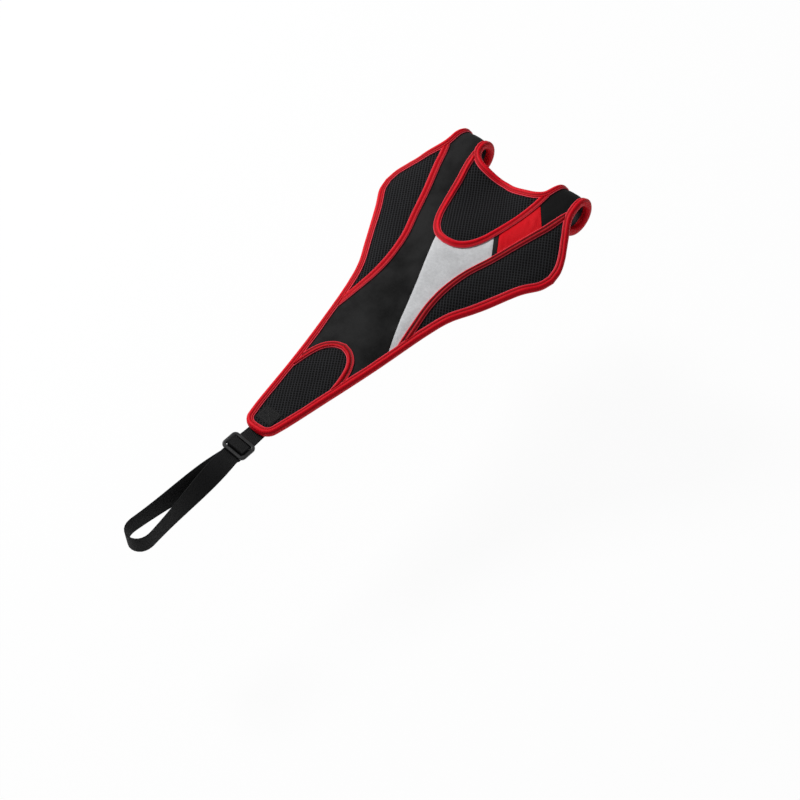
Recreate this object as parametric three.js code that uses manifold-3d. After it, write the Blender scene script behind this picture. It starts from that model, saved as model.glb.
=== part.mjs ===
// Bicycle sweat guard: a fabric cover that spans from the handlebar to the seat post and keeps sweat
// off the frame. Millimetres. +Y points forwards, +X to the rider's right, +Z up. The origin is on the
// handlebar's axis, in the guard's middle plane. The guard is modelled stretched, as it is in use.
import * as THREE from 'three';
import Module from 'manifold-3d';

const wasm = await Module();
wasm.setup();

// Driving dimensions: what the guard is fastened to
const bar_diameter = 35;
const post_diameter = 31;
const strap_slope = 3.7 * Math.PI / 180;

// Driving dimensions: the whole cloth, as laid flat, and how far its tail hangs below the bar
const body_length = 465;
const wing_span = 272;
const tail_drop = 67.5;

// Driving dimensions: cloth layers and the air between layers that lie on each other
const lining_thickness = 2.4;
const shell_thickness = 1.4;
const layer_gap = 0.5;
const seam_gap = 1.2;
const tape_gap = 0.65;
const butt_gap = 0.4;
const sleeve_clearance = 0.5;

// Driving dimensions: binding tape round the edge, and the padded tape over each seam
const tape_thickness = 1.2;
const edge_band_width = 9;
const seam_band_width = 9;
const seam_ridge_height = 1.5;
const seam_groove_height = 0.8;
const tape_lip = 0.7;
const tape_lip_width = 0.4;
const tape_crown = 0.5;

// Driving dimensions: the two arms, and the flap at each arm's end that folds back below the bar
const arm_inner_x = 57;
const arm_outer_x = 101;
const arm_start_y = 8;
const neck_start_y = 14;
const arm_slope = 15.6 * Math.PI / 180;
const arm_blend_start = -55;
const arm_blend_end = -12;
const arm_blend_inner_x = 5;
const arm_blend_outer_x = 48;
const arm_blend_fade = 60;
const flap_rise = 33 * Math.PI / 180;
const flap_length = 76;
const flap_corner_radius = 14;
const flap_landing_softness = 9;

// Driving dimensions: hook-and-loop pads that hold each flap to the underside
const pad_thickness = 1.2;
const pad_width = 24;
const pad_length = 27;
const pad_corner_radius = 3;
const pad_end_margin = 11;

// Driving dimensions: coloured fields on the right-hand band
const divider_width = 5.4;

// Driving dimensions: webbing loop and its slider
const web_width = 25;
const web_thickness = 1.4;
const web_sewn_length = 24;
const loop_reach = 187;
const web_dip_start = 7;
const web_dip_end = 2;
const web_bend = 1.2;
const web_edge = 0.5;
const slider_distance = 27;
const slider_turn = 9 * Math.PI / 180;
const slider_rim = 5.4;
const slider_thickness = 4.2;
const slider_slot = 4.4;
const slider_slot_clearance = 1.2;
const slider_bar = 6;
const slider_bar_thickness = 2;
const slider_corner_radius = 7.5;
const slider_softness = 1.3;
const slider_bar_softness = 0.9;
const anchor_length = 21;
const anchor_margin = 5.5;
const anchor_thickness = 0.9;
const anchor_corner_radius = 1.5;

// Steps of the facets
const outline_step = 13;
const body_step = 14;
const arc_step = 18 * Math.PI / 180;
const flap_step = 12;

// Sizes that follow from the ones above
const sleeve_radius = bar_diameter / 2 + sleeve_clearance;
const stack_height = lining_thickness + layer_gap + shell_thickness;
const shell_bottom = lining_thickness + layer_gap;
const band_bottom = stack_height + layer_gap;
const edge_inset = tape_thickness + layer_gap;
const flap_clearance = 2 * pad_thickness + 4 * layer_gap;

// Places on the flat pattern are given as shares: of half the span across, and of the body's length
// back from the bar
const half_span = wing_span / 2;

function patternPoints(shares) {
  return shares.map(([across, along]) => [across * half_span, along * body_length]);
}

// Half of the outline: the tail's middle, up the side and round the wing to the arm
const side_shares = [
  [0, -1], [0.0882, -0.9968], [0.1485, -0.9828], [0.1779, -0.957], [0.2794, -0.7957],
  [0.375, -0.6495], [0.4706, -0.5118], [0.5404, -0.4452], [0.6581, -0.3828], [0.8603, -0.2774],
  [0.9669, -0.2301], [1, -0.1935], [0.9816, -0.157], [0.8603, -0.086], [0.7684, -0.0366],
];
const wing_tip_index = 11;
const side_points = [...patternPoints(side_shares), [arm_outer_x, arm_start_y]];
// The front edge between the arms, from the arm to the middle
const neck_shares = [
  [0.4118, 0.0043], [0.3824, -0.0151], [0.3162, -0.028], [0.2059, -0.0333], [0, -0.0323],
];
const neck_points = [[arm_inner_x, neck_start_y], ...patternPoints(neck_shares)];
// The seam between wing and arm, and the seams round the neck panel and the tail panel, each drawn
// past the edge
const wing_seam_points = patternPoints([
  [0.8088, 0], [0.7096, -0.0473], [0.6397, -0.1054], [0.5478, -0.1763], [0.4559, -0.2538],
  [0.3676, -0.3226], [0.3235, -0.3935], [0.3199, -0.4516], [0.3456, -0.5118], [0.3824, -0.5763],
  [0.4412, -0.6452],
]);
const neck_seam_points = patternPoints([
  [0.3676, 0.0172], [0.4191, -0.0086], [0.4154, -0.0473], [0.3713, -0.1075], [0.3051, -0.1742],
  [0.2463, -0.2226], [0.1728, -0.2559], [0.0882, -0.2738], [0, -0.2789],
]);
const tail_seam_points = patternPoints([
  [0.3456, -0.9032], [0.2794, -0.8387], [0.2463, -0.7871], [0.2206, -0.7441], [0.1875, -0.7118],
  [0.1397, -0.6892], [0.0735, -0.6753], [0, -0.6699],
]);
// The right band's colour joins: dark to pale, pale to label, label to arm
const pale_join_points = patternPoints([
  [-0.1544, -0.2516], [-0.1029, -0.2882], [0.0551, -0.4065], [0.2206, -0.5312], [0.4412, -0.6839],
]);
const divider_join_points = patternPoints([[0.2632, -0.1617], [0.5294, -0.272]]);
const label_join_points = patternPoints([[0.3676, -0.028], [0.6985, -0.1312]]);

// How the stretched cloth hangs: heights of the underside at the middle, along the taut ridge that
// runs back from each arm, and at the outer edge, each for one cross section. Heights are shares of
// the tail's drop.
const drape_shares = [
  { y: -0.9892, centre: -1, ridge_x: 0.0441, ridge: -1, edge_x: 0.1765, edge: -1.0074 },
  { y: -0.7097, centre: -0.8074, ridge_x: 0.1029, ridge: -0.8148, edge_x: 0.3346, edge: -0.8593 },
  { y: -0.5161, centre: -0.5481, ridge_x: 0.1912, ridge: -0.563, edge_x: 0.4669, edge: -0.6667 },
  { y: -0.3656, centre: -0.2741, ridge_x: 0.3235, ridge: -0.3333, edge_x: 0.6912, edge: -0.5037 },
  { y: -0.2581, centre: -0.0963, ridge_x: 0.4265, ridge: -0.1926, edge_x: 0.9007, edge: -0.3333 },
  { y: -0.1828, centre: -0.0519, ridge_x: 0.5147, ridge: -0.0741, edge_x: 0.9963, edge: -0.2963 },
  { y: -0.1075, centre: -0.0444, ridge_x: 0.5735, ridge: 0.0667, edge_x: 0.9154, edge: -0.1185 },
  { y: -0.0215, centre: 0.0741, ridge_x: 0.5882, ridge: 0.2222, edge_x: 0.7721, edge: 0.2074 },
];
const drape_sections = drape_shares.map((share) => ({
  y: share.y * body_length,
  centre: share.centre * tail_drop,
  ridge_x: share.ridge_x * half_span,
  ridge: share.ridge * tail_drop,
  edge_x: share.edge_x * half_span,
  edge: share.edge * tail_drop,
}));

// Small tools for numbers

function smoothStep(value, low, high) {
  const t = Math.min(1, Math.max(0, (value - low) / (high - low)));
  return t * t * (3 - 2 * t);
}

// Smaller of two values, rounded where they meet
function softMinimum(a, b, softness) {
  const share = Math.min(1, Math.max(0, 0.5 + 0.5 * (b - a) / softness));
  return b + (a - b) * share - softness * share * (1 - share);
}

// Value of one column of the drape sections at y, on a smooth curve through the sections
function drapeValue(column, y) {
  const last = drape_sections.length - 1;
  let i = 0;
  while (i < last - 1 && y > drape_sections[i + 1].y) {
    i += 1;
  }
  const slope = (a, b) => (drape_sections[b][column] - drape_sections[a][column])
    / (drape_sections[b].y - drape_sections[a].y);
  const start = slope(Math.max(0, i - 1), i === 0 ? 1 : i + 1);
  const end = slope(i, Math.min(last, i + 2));
  const length = drape_sections[i + 1].y - drape_sections[i].y;
  const t = (y - drape_sections[i].y) / length;
  const rise = 2 * t ** 3 - 3 * t ** 2;
  return (1 + rise) * drape_sections[i][column] - rise * drape_sections[i + 1][column]
    + (t ** 3 - 2 * t ** 2 + t) * length * start + (t ** 3 - t ** 2) * length * end;
}

// The draped surface: the underside of the lining, before it reaches the bar

const tangent_y = -sleeve_radius * Math.sin(arm_slope);
const tangent_z = sleeve_radius * Math.cos(arm_slope);

function bodyHeight(x, y) {
  const reach = Math.abs(x);
  const centre = drapeValue('centre', y);
  const ridge = drapeValue('ridge', y);
  const ridge_x = drapeValue('ridge_x', y);
  let height = centre + (ridge - centre) * smoothStep(reach, 0, ridge_x);
  if (reach > ridge_x) {
    const share = (reach - ridge_x) / (drapeValue('edge_x', y) - ridge_x);
    height = ridge + (drapeValue('edge', y) - ridge) * share ** 2;
  }
  const taut = tangent_z + (y - tangent_y) * Math.tan(arm_slope);
  const weight = smoothStep(y, arm_blend_start, arm_blend_end)
    * smoothStep(reach, arm_blend_inner_x, arm_blend_outer_x)
    * (1 - smoothStep(reach, arm_outer_x, arm_outer_x + arm_blend_fade));
  return height + (taut - height) * weight;
}

// Along an arm the flat pattern's v runs on past the tangent line: round the bar, then back as a flap
const wrap_angle = Math.PI + arm_slope + flap_rise;
const wrap_end = tangent_y + sleeve_radius * wrap_angle;
const flap_end = wrap_end + flap_length;

function surfacePoint(u, v) {
  if (v <= tangent_y) {
    return new THREE.Vector3(u, v, bodyHeight(u, v));
  }
  if (v <= wrap_end) {
    const angle = (v - tangent_y) / sleeve_radius - arm_slope;
    return new THREE.Vector3(u, sleeve_radius * Math.sin(angle), sleeve_radius * Math.cos(angle));
  }
  const y = -sleeve_radius * Math.sin(flap_rise) - (v - wrap_end) * Math.cos(flap_rise);
  const rising = -sleeve_radius * Math.cos(flap_rise) + (v - wrap_end) * Math.sin(flap_rise);
  const below_body = bodyHeight(u, y) - flap_clearance;
  return new THREE.Vector3(u, y, softMinimum(rising, below_body, flap_landing_softness));
}

// Point of the cloth at pattern place u, v and at a height above the lining's underside
function clothPoint(u, v, height) {
  const step = 0.05;
  const along_u = surfacePoint(u + step, v).sub(surfacePoint(u - step, v));
  const along_v = surfacePoint(u, v + step).sub(surfacePoint(u, v - step));
  const normal = along_u.cross(along_v).normalize();
  return surfacePoint(u, v).addScaledVector(normal, height);
}

// Lines on the flat pattern, each a list of Vector2

function smoothLine(points) {
  const curve = new THREE.CatmullRomCurve3(points.map(([u, v]) => new THREE.Vector3(u, v, 0)));
  const count = Math.ceil(curve.getLength() / outline_step);
  return curve.getSpacedPoints(count).map((p) => new THREE.Vector2(p.x, p.y));
}

function straightLine(from, to) {
  return [new THREE.Vector2(...from), new THREE.Vector2(...to)];
}

function cornerLine(centre_u, centre_v, radius, from_angle, to_angle) {
  const steps = 3;
  return Array.from({ length: steps + 1 }, (_, i) => {
    const angle = from_angle + (to_angle - from_angle) * i / steps;
    return new THREE.Vector2(centre_u + radius * Math.cos(angle), centre_v + radius * Math.sin(angle));
  });
}

function mirrorLine(line) {
  return line.map((p) => new THREE.Vector2(-p.x, p.y)).reverse();
}

// Joins lines end to end, leaving out the points that repeat
function joinLines(...lines) {
  const joined = [];
  for (const point of lines.flat()) {
    if (joined.length === 0 || joined[joined.length - 1].distanceTo(point) > 0.01) {
      joined.push(point);
    }
  }
  return joined;
}

// Unit vector to the left of the line's travel at point i
function leftOf(line, i, closed) {
  const count = line.length;
  const before = closed ? line[(i + count - 1) % count] : line[Math.max(0, i - 1)];
  const after = closed ? line[(i + 1) % count] : line[Math.min(count - 1, i + 1)];
  const travel = after.clone().sub(before).normalize();
  return new THREE.Vector2(-travel.y, travel.x);
}

function offsetLine(line, distance, closed = false) {
  return line.map((p, i) => p.clone().addScaledVector(leftOf(line, i, closed), distance));
}

// Adds the points where the line crosses the given v positions, so that folds fall on them
function addCrossings(line, positions) {
  const result = [];
  line.forEach((start, i) => {
    const end = line[(i + 1) % line.length];
    const crossings = positions
      .map((v) => (v - start.y) / (end.y - start.y))
      .filter((t) => t > 0.02 && t < 0.98)
      .sort((a, b) => a - b);
    result.push(start, ...crossings.map((t) => start.clone().lerp(end, t)));
  });
  return result;
}

// Place where two lines meet: a shared end, or else a crossing
function meeting(a, b) {
  for (const i of [0, a.length - 1]) {
    for (const j of [0, b.length - 1]) {
      if (a[i].distanceTo(b[j]) < 0.01) {
        return { point: a[i], on_a: i, on_b: j };
      }
    }
  }
  for (let i = 0; i < a.length - 1; i += 1) {
    for (let j = 0; j < b.length - 1; j += 1) {
      const edge_a = a[i + 1].clone().sub(a[i]);
      const edge_b = b[j + 1].clone().sub(b[j]);
      const between = b[j].clone().sub(a[i]);
      const area = edge_a.cross(edge_b);
      const t = between.cross(edge_b) / area;
      const s = between.cross(edge_a) / area;
      if (t >= 0 && t <= 1 && s >= 0 && s <= 1) {
        return { point: a[i].clone().addScaledVector(edge_a, t), on_a: i + t, on_b: j + s };
      }
    }
  }
  throw new Error('two lines of the pattern do not meet');
}

// Outline of a panel whose sides are stretches of the given lines, in order round the panel
function panelOutline(lines) {
  const corners = lines.map((line, i) => meeting(line, lines[(i + 1) % lines.length]));
  const sides = lines.map((line, i) => {
    const first = corners[(i + lines.length - 1) % lines.length];
    const from = first.on_b;
    const to = corners[i].on_a;
    const inside = line.filter((_, k) => k > Math.min(from, to) && k < Math.max(from, to));
    return [first.point, ...(from < to ? inside : inside.reverse())];
  });
  const outline = joinLines(...sides);
  return THREE.ShapeUtils.area(outline) < 0 ? outline.reverse() : outline;
}

// Closed bodies

// Makes a geometry of shared vertices, with its faces pointing out
function bodyGeometry(vertices, triangles) {
  let volume = 0;
  for (const [a, b, c] of triangles) {
    volume += vertices[a].dot(vertices[b].clone().cross(vertices[c]));
  }
  const facing_out = volume > 0 ? triangles : triangles.map(([a, b, c]) => [a, c, b]);
  const geometry = new THREE.BufferGeometry().setFromPoints(vertices);
  geometry.setIndex(facing_out.flat());
  return geometry;
}

// Grid lines that every cloth layer is folded along, so that layers lie parallel
const body_row_count = Math.ceil(body_length / body_step) + 2;
const body_rows = Array.from({ length: body_row_count }, (_, i) => (
  tangent_y - body_step * (body_row_count - i)
));
const arc_count = Math.round(wrap_angle / arc_step);
const arc_rows = Array.from({ length: arc_count + 1 }, (_, i) => (
  tangent_y + sleeve_radius * wrap_angle * i / arc_count
));
const flap_count = Math.ceil(flap_length / flap_step) + 1;
const flap_rows = Array.from({ length: flap_count }, (_, i) => (
  wrap_end + (flap_length + flap_step) * (i + 1) / flap_count
));
const grid_rows = [...body_rows, ...arc_rows, ...flap_rows];
const column_count = Math.ceil(half_span / body_step) + 2;
const grid_columns = Array.from({ length: 2 * column_count + 1 }, (_, i) => (
  body_step * (i - column_count)
));
const snap_distance = 0.15;

function snapTo(value, positions) {
  const near = positions.find((position) => Math.abs(position - value) < snap_distance);
  return near === undefined ? value : near;
}

// Keeps the part of a polygon on one side of the line where the axis has the value limit
function clipPolygon(polygon, axis, limit, side) {
  const other = axis === 'x' ? 'y' : 'x';
  const other_lines = axis === 'x' ? grid_rows : grid_columns;
  const kept = [];
  polygon.forEach((start, i) => {
    const end = polygon[(i + 1) % polygon.length];
    const start_in = (start[axis] - limit) * side >= 0;
    const end_in = (end[axis] - limit) * side >= 0;
    if (start_in) {
      kept.push(start);
    }
    if (start_in !== end_in && start[axis] !== limit && end[axis] !== limit) {
      const crossing = start.clone().lerp(end, (limit - start[axis]) / (end[axis] - start[axis]));
      crossing[axis] = limit;
      crossing[other] = snapTo(crossing[other], other_lines);
      kept.push(crossing);
    }
  });
  return kept;
}

// Removes repeated points and spikes where the outline runs back over itself
function cleanPolygon(polygon) {
  let points = polygon;
  let changed = true;
  while (changed && points.length > 2) {
    const count = points.length;
    const kept = points.filter((p, i) => {
      const before = points[(i + count - 1) % count];
      const after = points[(i + 1) % count];
      const arriving = p.clone().sub(before);
      const leaving = after.clone().sub(p);
      const turns_back = Math.abs(arriving.cross(leaving)) < 1e-6 && arriving.dot(leaving) <= 0;
      return arriving.length() > 1e-5 && !turns_back;
    });
    changed = kept.length !== count;
    points = kept;
  }
  return points;
}

// One closed layer of cloth with the given pattern outline, between two heights
function clothLayer(outline, low, high) {
  const snapped = outline.map((p) => (
    new THREE.Vector2(snapTo(p.x, grid_columns), snapTo(p.y, grid_rows))
  ));
  const plan = [];
  const index_of = new Map();
  const faces = [];
  const indexOf = (p) => {
    const key = `${p.x.toFixed(4)} ${p.y.toFixed(4)}`;
    if (!index_of.has(key)) {
      index_of.set(key, plan.length);
      plan.push(p);
    }
    return index_of.get(key);
  };
  for (let row = 0; row < grid_rows.length - 1; row += 1) {
    const above = clipPolygon(snapped, 'y', grid_rows[row], 1);
    const strip = clipPolygon(above, 'y', grid_rows[row + 1], -1);
    for (let column = 0; strip.length > 2 && column < grid_columns.length - 1; column += 1) {
      const right = clipPolygon(strip, 'x', grid_columns[column], 1);
      const cell = cleanPolygon(clipPolygon(right, 'x', grid_columns[column + 1], -1));
      if (cell.length > 2 && Math.abs(THREE.ShapeUtils.area(cell)) > 1e-4) {
        for (const [a, b, c] of THREE.ShapeUtils.triangulateShape(cell, [])) {
          faces.push([indexOf(cell[a]), indexOf(cell[b]), indexOf(cell[c])]);
        }
      }
    }
  }
  const directed = new Set(faces.flatMap(([a, b, c]) => [`${a} ${b}`, `${b} ${c}`, `${c} ${a}`]));
  const count = plan.length;
  const triangles = [];
  for (const [a, b, c] of faces) {
    triangles.push([a + count, b + count, c + count], [a, c, b]);
    for (const [start, end] of [[a, b], [b, c], [c, a]]) {
      if (!directed.has(`${end} ${start}`)) {
        triangles.push([start, end, end + count], [start, end + count, start + count]);
      }
    }
  }
  const vertices = [
    ...plan.map((p) => clothPoint(p.x, p.y, low)),
    ...plan.map((p) => clothPoint(p.x, p.y, high)),
  ];
  return bodyGeometry(vertices, triangles);
}

// A section carried along stations. Each station turns a section point into a point in space.
function sweptBody(stations, section, closed) {
  const size = section.length;
  const vertices = stations.flatMap((place) => section.map(([across, height]) => place(across, height)));
  const triangles = [];
  const spans = closed ? stations.length : stations.length - 1;
  for (let i = 0; i < spans; i += 1) {
    const near = i * size;
    const far = ((i + 1) % stations.length) * size;
    for (let j = 0; j < size; j += 1) {
      const k = (j + 1) % size;
      triangles.push([near + j, far + j, far + k], [near + j, far + k, near + k]);
    }
  }
  if (!closed) {
    const contour = section.map(([across, height]) => new THREE.Vector2(across, height));
    const end = (stations.length - 1) * size;
    const anticlockwise = THREE.ShapeUtils.area(contour) > 0;
    for (const [a, b, c] of THREE.ShapeUtils.triangulateShape(contour, [])) {
      triangles.push(anticlockwise ? [a, b, c] : [a, c, b]);
      triangles.push(anticlockwise ? [end + a, end + c, end + b] : [end + a, end + b, end + c]);
    }
  }
  return bodyGeometry(vertices, triangles);
}

function lineStations(line, closed) {
  return line.map((p, i) => {
    const left = leftOf(line, i, closed);
    return (across, height) => clothPoint(p.x + left.x * across, p.y + left.y * across, height);
  });
}

function toSolid(geometry) {
  return new wasm.Manifold(new wasm.Mesh({
    numProp: 3,
    vertProperties: new Float32Array(geometry.attributes.position.array),
    triVerts: new Uint32Array(geometry.index.array),
  }));
}

function toGeometry(solid) {
  const mesh = solid.getMesh();
  const geometry = new THREE.BufferGeometry();
  geometry.setAttribute('position', new THREE.BufferAttribute(mesh.vertProperties, 3));
  geometry.setIndex(new THREE.BufferAttribute(mesh.triVerts, 1));
  return geometry;
}

// The pattern's lines

const right_hip = smoothLine(side_points.slice(0, wing_tip_index + 1));
const right_shoulder = smoothLine(side_points.slice(wing_tip_index));
const right_arm = joinLines(
  right_shoulder,
  straightLine([arm_outer_x, arm_start_y], [arm_outer_x, flap_end - flap_corner_radius]),
  cornerLine(
    arm_outer_x - flap_corner_radius, flap_end - flap_corner_radius, flap_corner_radius, 0, Math.PI / 2,
  ),
  cornerLine(
    arm_inner_x + flap_corner_radius, flap_end - flap_corner_radius, flap_corner_radius,
    Math.PI / 2, Math.PI,
  ),
  straightLine([arm_inner_x, flap_end - flap_corner_radius], neck_points[0]),
  smoothLine(neck_points),
);
const whole_edge = joinLines(right_hip, right_arm, mirrorLine(right_arm), mirrorLine(right_hip));
whole_edge.pop();
const panel_edge = offsetLine(whole_edge, edge_inset, true);
const hip_count = right_hip.length;
const arm_count = right_arm.length;
const edge_of_right_hip = panel_edge.slice(0, hip_count);
const edge_of_right_arm = panel_edge.slice(hip_count - 1, hip_count + arm_count - 1);
const edge_of_left_arm = mirrorLine(edge_of_right_arm);
const edge_of_left_hip = mirrorLine(edge_of_right_hip);

const wing_seam = smoothLine(wing_seam_points);
const neck_seam_right = smoothLine(neck_seam_points);
const neck_seam = joinLines(neck_seam_right, mirrorLine(neck_seam_right));
const tail_seam_right = smoothLine(tail_seam_points);
const tail_seam = joinLines(tail_seam_right, mirrorLine(tail_seam_right));
const pale_join = smoothLine(pale_join_points);
const divider_join = straightLine(...divider_join_points);
const label_join = straightLine(...label_join_points);

const half_seam = seam_gap / 2;
const half_butt = butt_gap / 2;
const half_divider = divider_width / 2;
const wing_side = offsetLine(wing_seam, half_seam);
const band_side = offsetLine(wing_seam, -half_seam);
const left_band_side = mirrorLine(band_side);
const inside_neck = offsetLine(neck_seam, -half_seam);
const outside_neck = offsetLine(neck_seam, half_seam);
const below_tail_seam = offsetLine(tail_seam, half_seam);
const above_tail_seam = offsetLine(tail_seam, -half_seam);

// Panels of the outer shell

const wing_outline = panelOutline([edge_of_right_hip, edge_of_right_arm, wing_side]);
const panels = {
  right_wing_mesh: wing_outline,
  left_wing_mesh: mirrorLine(wing_outline),
  neck_mesh: panelOutline([edge_of_right_arm, edge_of_left_arm, inside_neck]),
  tail_mesh: panelOutline([edge_of_right_hip, below_tail_seam, edge_of_left_hip]),
  main_panel: panelOutline([
    edge_of_left_hip, left_band_side, edge_of_left_arm, outside_neck,
    offsetLine(pale_join, -half_butt), edge_of_right_hip, above_tail_seam,
  ]),
  pale_panel: panelOutline([
    outside_neck, offsetLine(pale_join, half_butt), edge_of_right_hip, band_side,
    offsetLine(divider_join, -half_divider - butt_gap),
  ]),
  divider_strip: panelOutline([
    outside_neck, offsetLine(divider_join, -half_divider), band_side,
    offsetLine(divider_join, half_divider),
  ]),
  label_patch: panelOutline([
    outside_neck, offsetLine(divider_join, half_divider + butt_gap), band_side,
    offsetLine(label_join, -half_butt),
  ]),
  right_arm_panel: panelOutline([
    edge_of_right_arm, outside_neck, offsetLine(label_join, half_butt), band_side,
  ]),
};

// Binding tape folded round the whole edge. Across is measured in from the outer edge.

const edge_section = [
  [edge_band_width, band_bottom],
  [edge_band_width - tape_lip_width, band_bottom + tape_lip],
  [edge_band_width * 0.55, band_bottom + tape_thickness + tape_crown],
  [tape_thickness, band_bottom + tape_thickness],
  [0, stack_height / 2],
  [tape_thickness, -tape_gap - tape_thickness],
  [edge_band_width - tape_lip_width, -tape_gap - tape_lip],
  [edge_band_width, -tape_gap],
  [tape_thickness, -tape_gap],
  [tape_thickness, band_bottom],
];
const folded_edge = addCrossings(whole_edge, [...arc_rows, ...flap_rows]);
const edge_binding = sweptBody(lineStations(folded_edge, true), edge_section, true);

// Padded tape over each seam: two soft ridges with a stitched groove between them. It is trimmed
// where it runs under the edge binding.

const half_band = seam_band_width / 2;
const seam_section = [
  [-half_band, band_bottom],
  [half_band, band_bottom],
  [half_band - tape_lip_width, band_bottom + tape_lip],
  [half_band / 2, band_bottom + seam_ridge_height],
  [0, band_bottom + seam_groove_height],
  [-half_band / 2, band_bottom + seam_ridge_height],
  [-half_band + tape_lip_width, band_bottom + tape_lip],
];
const field_outline = offsetLine(folded_edge, edge_band_width + layer_gap, true);
const field_top = band_bottom + seam_ridge_height + 2 * tape_lip;
const field = toSolid(clothLayer(field_outline, stack_height, field_top));

function seamTape(line) {
  const tape = toSolid(sweptBody(lineStations(line, false), seam_section, false));
  return toGeometry(tape.intersect(field));
}

// Hook-and-loop pads

function roundedRectangle(centre_u, centre_v, width, length, radius) {
  const u = width / 2 - radius;
  const v = length / 2 - radius;
  const quarter = Math.PI / 2;
  return joinLines(
    cornerLine(centre_u + u, centre_v - v, radius, -quarter, 0),
    cornerLine(centre_u + u, centre_v + v, radius, 0, quarter),
    cornerLine(centre_u - u, centre_v + v, radius, quarter, 2 * quarter),
    cornerLine(centre_u - u, centre_v - v, radius, 2 * quarter, 3 * quarter),
  );
}

const pad_u = (arm_inner_x + arm_outer_x) / 2;
const hook_v = flap_end - pad_end_margin - pad_length / 2;
const loop_v = surfacePoint(pad_u, hook_v).y;

function hookPad(side) {
  const outline = roundedRectangle(side * pad_u, hook_v, pad_width, pad_length, pad_corner_radius);
  return clothLayer(outline, -layer_gap - pad_thickness, -layer_gap);
}

function loopPad(side) {
  const outline = roundedRectangle(side * pad_u, loop_v, pad_width, pad_length, pad_corner_radius);
  return clothLayer(outline, -layer_gap - pad_thickness, -layer_gap);
}

// Patch on the tail that the webbing is sewn through to

const tail_end_y = side_points[0][1];
const anchor_v = tail_end_y + edge_band_width + anchor_margin + anchor_length / 2;
const anchor_outline = roundedRectangle(
  0, anchor_v, web_width, anchor_length, anchor_corner_radius,
);
const anchor_patch = clothLayer(anchor_outline, band_bottom, band_bottom + anchor_thickness);

// Webbing. It is laid out in a frame of its own below the tail's end: "along" runs back to the seat
// post, "across" to the rider's right and "up" is square to both. Each place on it has a middle and
// a direction across its width.

const web_origin = clothPoint(0, tail_end_y, -3 * layer_gap - tape_thickness - web_thickness / 2);
const web_along = new THREE.Vector3(0, -Math.cos(strap_slope), -Math.sin(strap_slope));
const web_up = new THREE.Vector3(0, -Math.sin(strap_slope), Math.cos(strap_slope));

function webPlace(across, along, up, turn = 0) {
  const middle = web_origin.clone().addScaledVector(web_along, along).addScaledVector(web_up, up);
  middle.x += across;
  const width_way = web_up.clone().multiplyScalar(-Math.sin(turn));
  width_way.x += Math.cos(turn);
  return { middle, width_way };
}

// Place at the slider, which is turned a little about the strap: up is square to the turned strap
function sliderPlace(along, up) {
  return webPlace(up * Math.sin(slider_turn), along, up * Math.cos(slider_turn), slider_turn);
}

const web_layer = web_thickness + layer_gap;
const frame_up = slider_thickness / 2 + layer_gap + web_thickness / 2;
const bar_reach = slider_bar / 2 + layer_gap + web_thickness / 2;
const bar_crest = frame_up + slider_bar_thickness / 2 + layer_gap + web_thickness / 2;
const slot_reach = bar_reach + web_layer;
const slider_half_length = slider_bar / 2 + slider_slot + slider_rim;
const loop_start = slider_distance + slider_half_length + layer_gap;
const post_turn_radius = post_diameter / 2 + web_thickness / 2;

// Places along straight legs, rounded where the legs meet square. Corners are given as distance along
// and height; the first and last only give the outer legs' directions.
function bentPlaces(corners) {
  return corners.slice(1, -1).flatMap((place, i) => {
    const corner = new THREE.Vector2(...place);
    const back = new THREE.Vector2(...corners[i]).sub(corner).setLength(web_bend);
    const ahead = new THREE.Vector2(...corners[i + 2]).sub(corner).setLength(web_bend);
    const inward = back.clone().add(ahead).multiplyScalar(1 - Math.SQRT1_2);
    return [back, inward, ahead].map((step) => {
      const point = corner.clone().add(step);
      return sliderPlace(point.x, point.y);
    });
  });
}

// From the seam under the tail, up through the slider's first slot, over the bar and down again
function feedPlaces() {
  const crest = bar_crest + web_layer;
  const below_lining = -layer_gap - web_thickness / 2;
  const below_tape = below_lining - 2 * layer_gap - tape_thickness;
  const tape_edge = tail_end_y + edge_band_width;
  const sewn_places = [
    [web_sewn_length, below_lining],
    [web_sewn_length / 2, below_lining],
    [web_dip_start, below_lining],
    [web_dip_end, below_tape],
  ];
  return [
    ...sewn_places.map(([before_tape, height]) => ({
      middle: clothPoint(0, tape_edge + before_tape, height),
      width_way: new THREE.Vector3(1, 0, 0),
    })),
    webPlace(0, 0, 0),
    ...bentPlaces([
      [0, 0],
      [slider_distance - slot_reach, 0],
      [slider_distance - slot_reach, crest],
      [slider_distance + slot_reach, crest],
      [slider_distance + slot_reach, 0],
      [loop_start, 0],
    ]),
  ];
}

// The loop's two runs part in straight lines and turn from flat to upright on the way to the post.
// side is 1 on the right.
const run_lean = Math.asin(post_turn_radius / (loop_reach - loop_start));
const run_end = loop_reach - post_turn_radius * Math.sin(run_lean);

function runPlaces(side) {
  const steps = 12;
  return Array.from({ length: steps + 1 }, (_, i) => {
    const t = i / steps;
    const layer = (side - 1) * web_layer / 2 * (1 - t);
    const across = side * post_turn_radius * Math.cos(run_lean) * t + layer * Math.sin(slider_turn);
    const along = loop_start + (run_end - loop_start) * t;
    const up = layer * Math.cos(slider_turn) - web_layer / 2 * t;
    const turn = slider_turn + (Math.PI / 2 - slider_turn) * Math.sin(t * Math.PI / 2);
    return webPlace(across, along, up, turn);
  });
}

function postPlaces() {
  const steps = 12;
  return Array.from({ length: steps - 1 }, (_, i) => {
    const angle = -run_lean + (Math.PI + 2 * run_lean) * (i + 1) / steps;
    const across = post_turn_radius * Math.cos(angle);
    const along = loop_reach + post_turn_radius * Math.sin(angle);
    return webPlace(across, along, -web_layer / 2, Math.PI / 2);
  });
}

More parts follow.
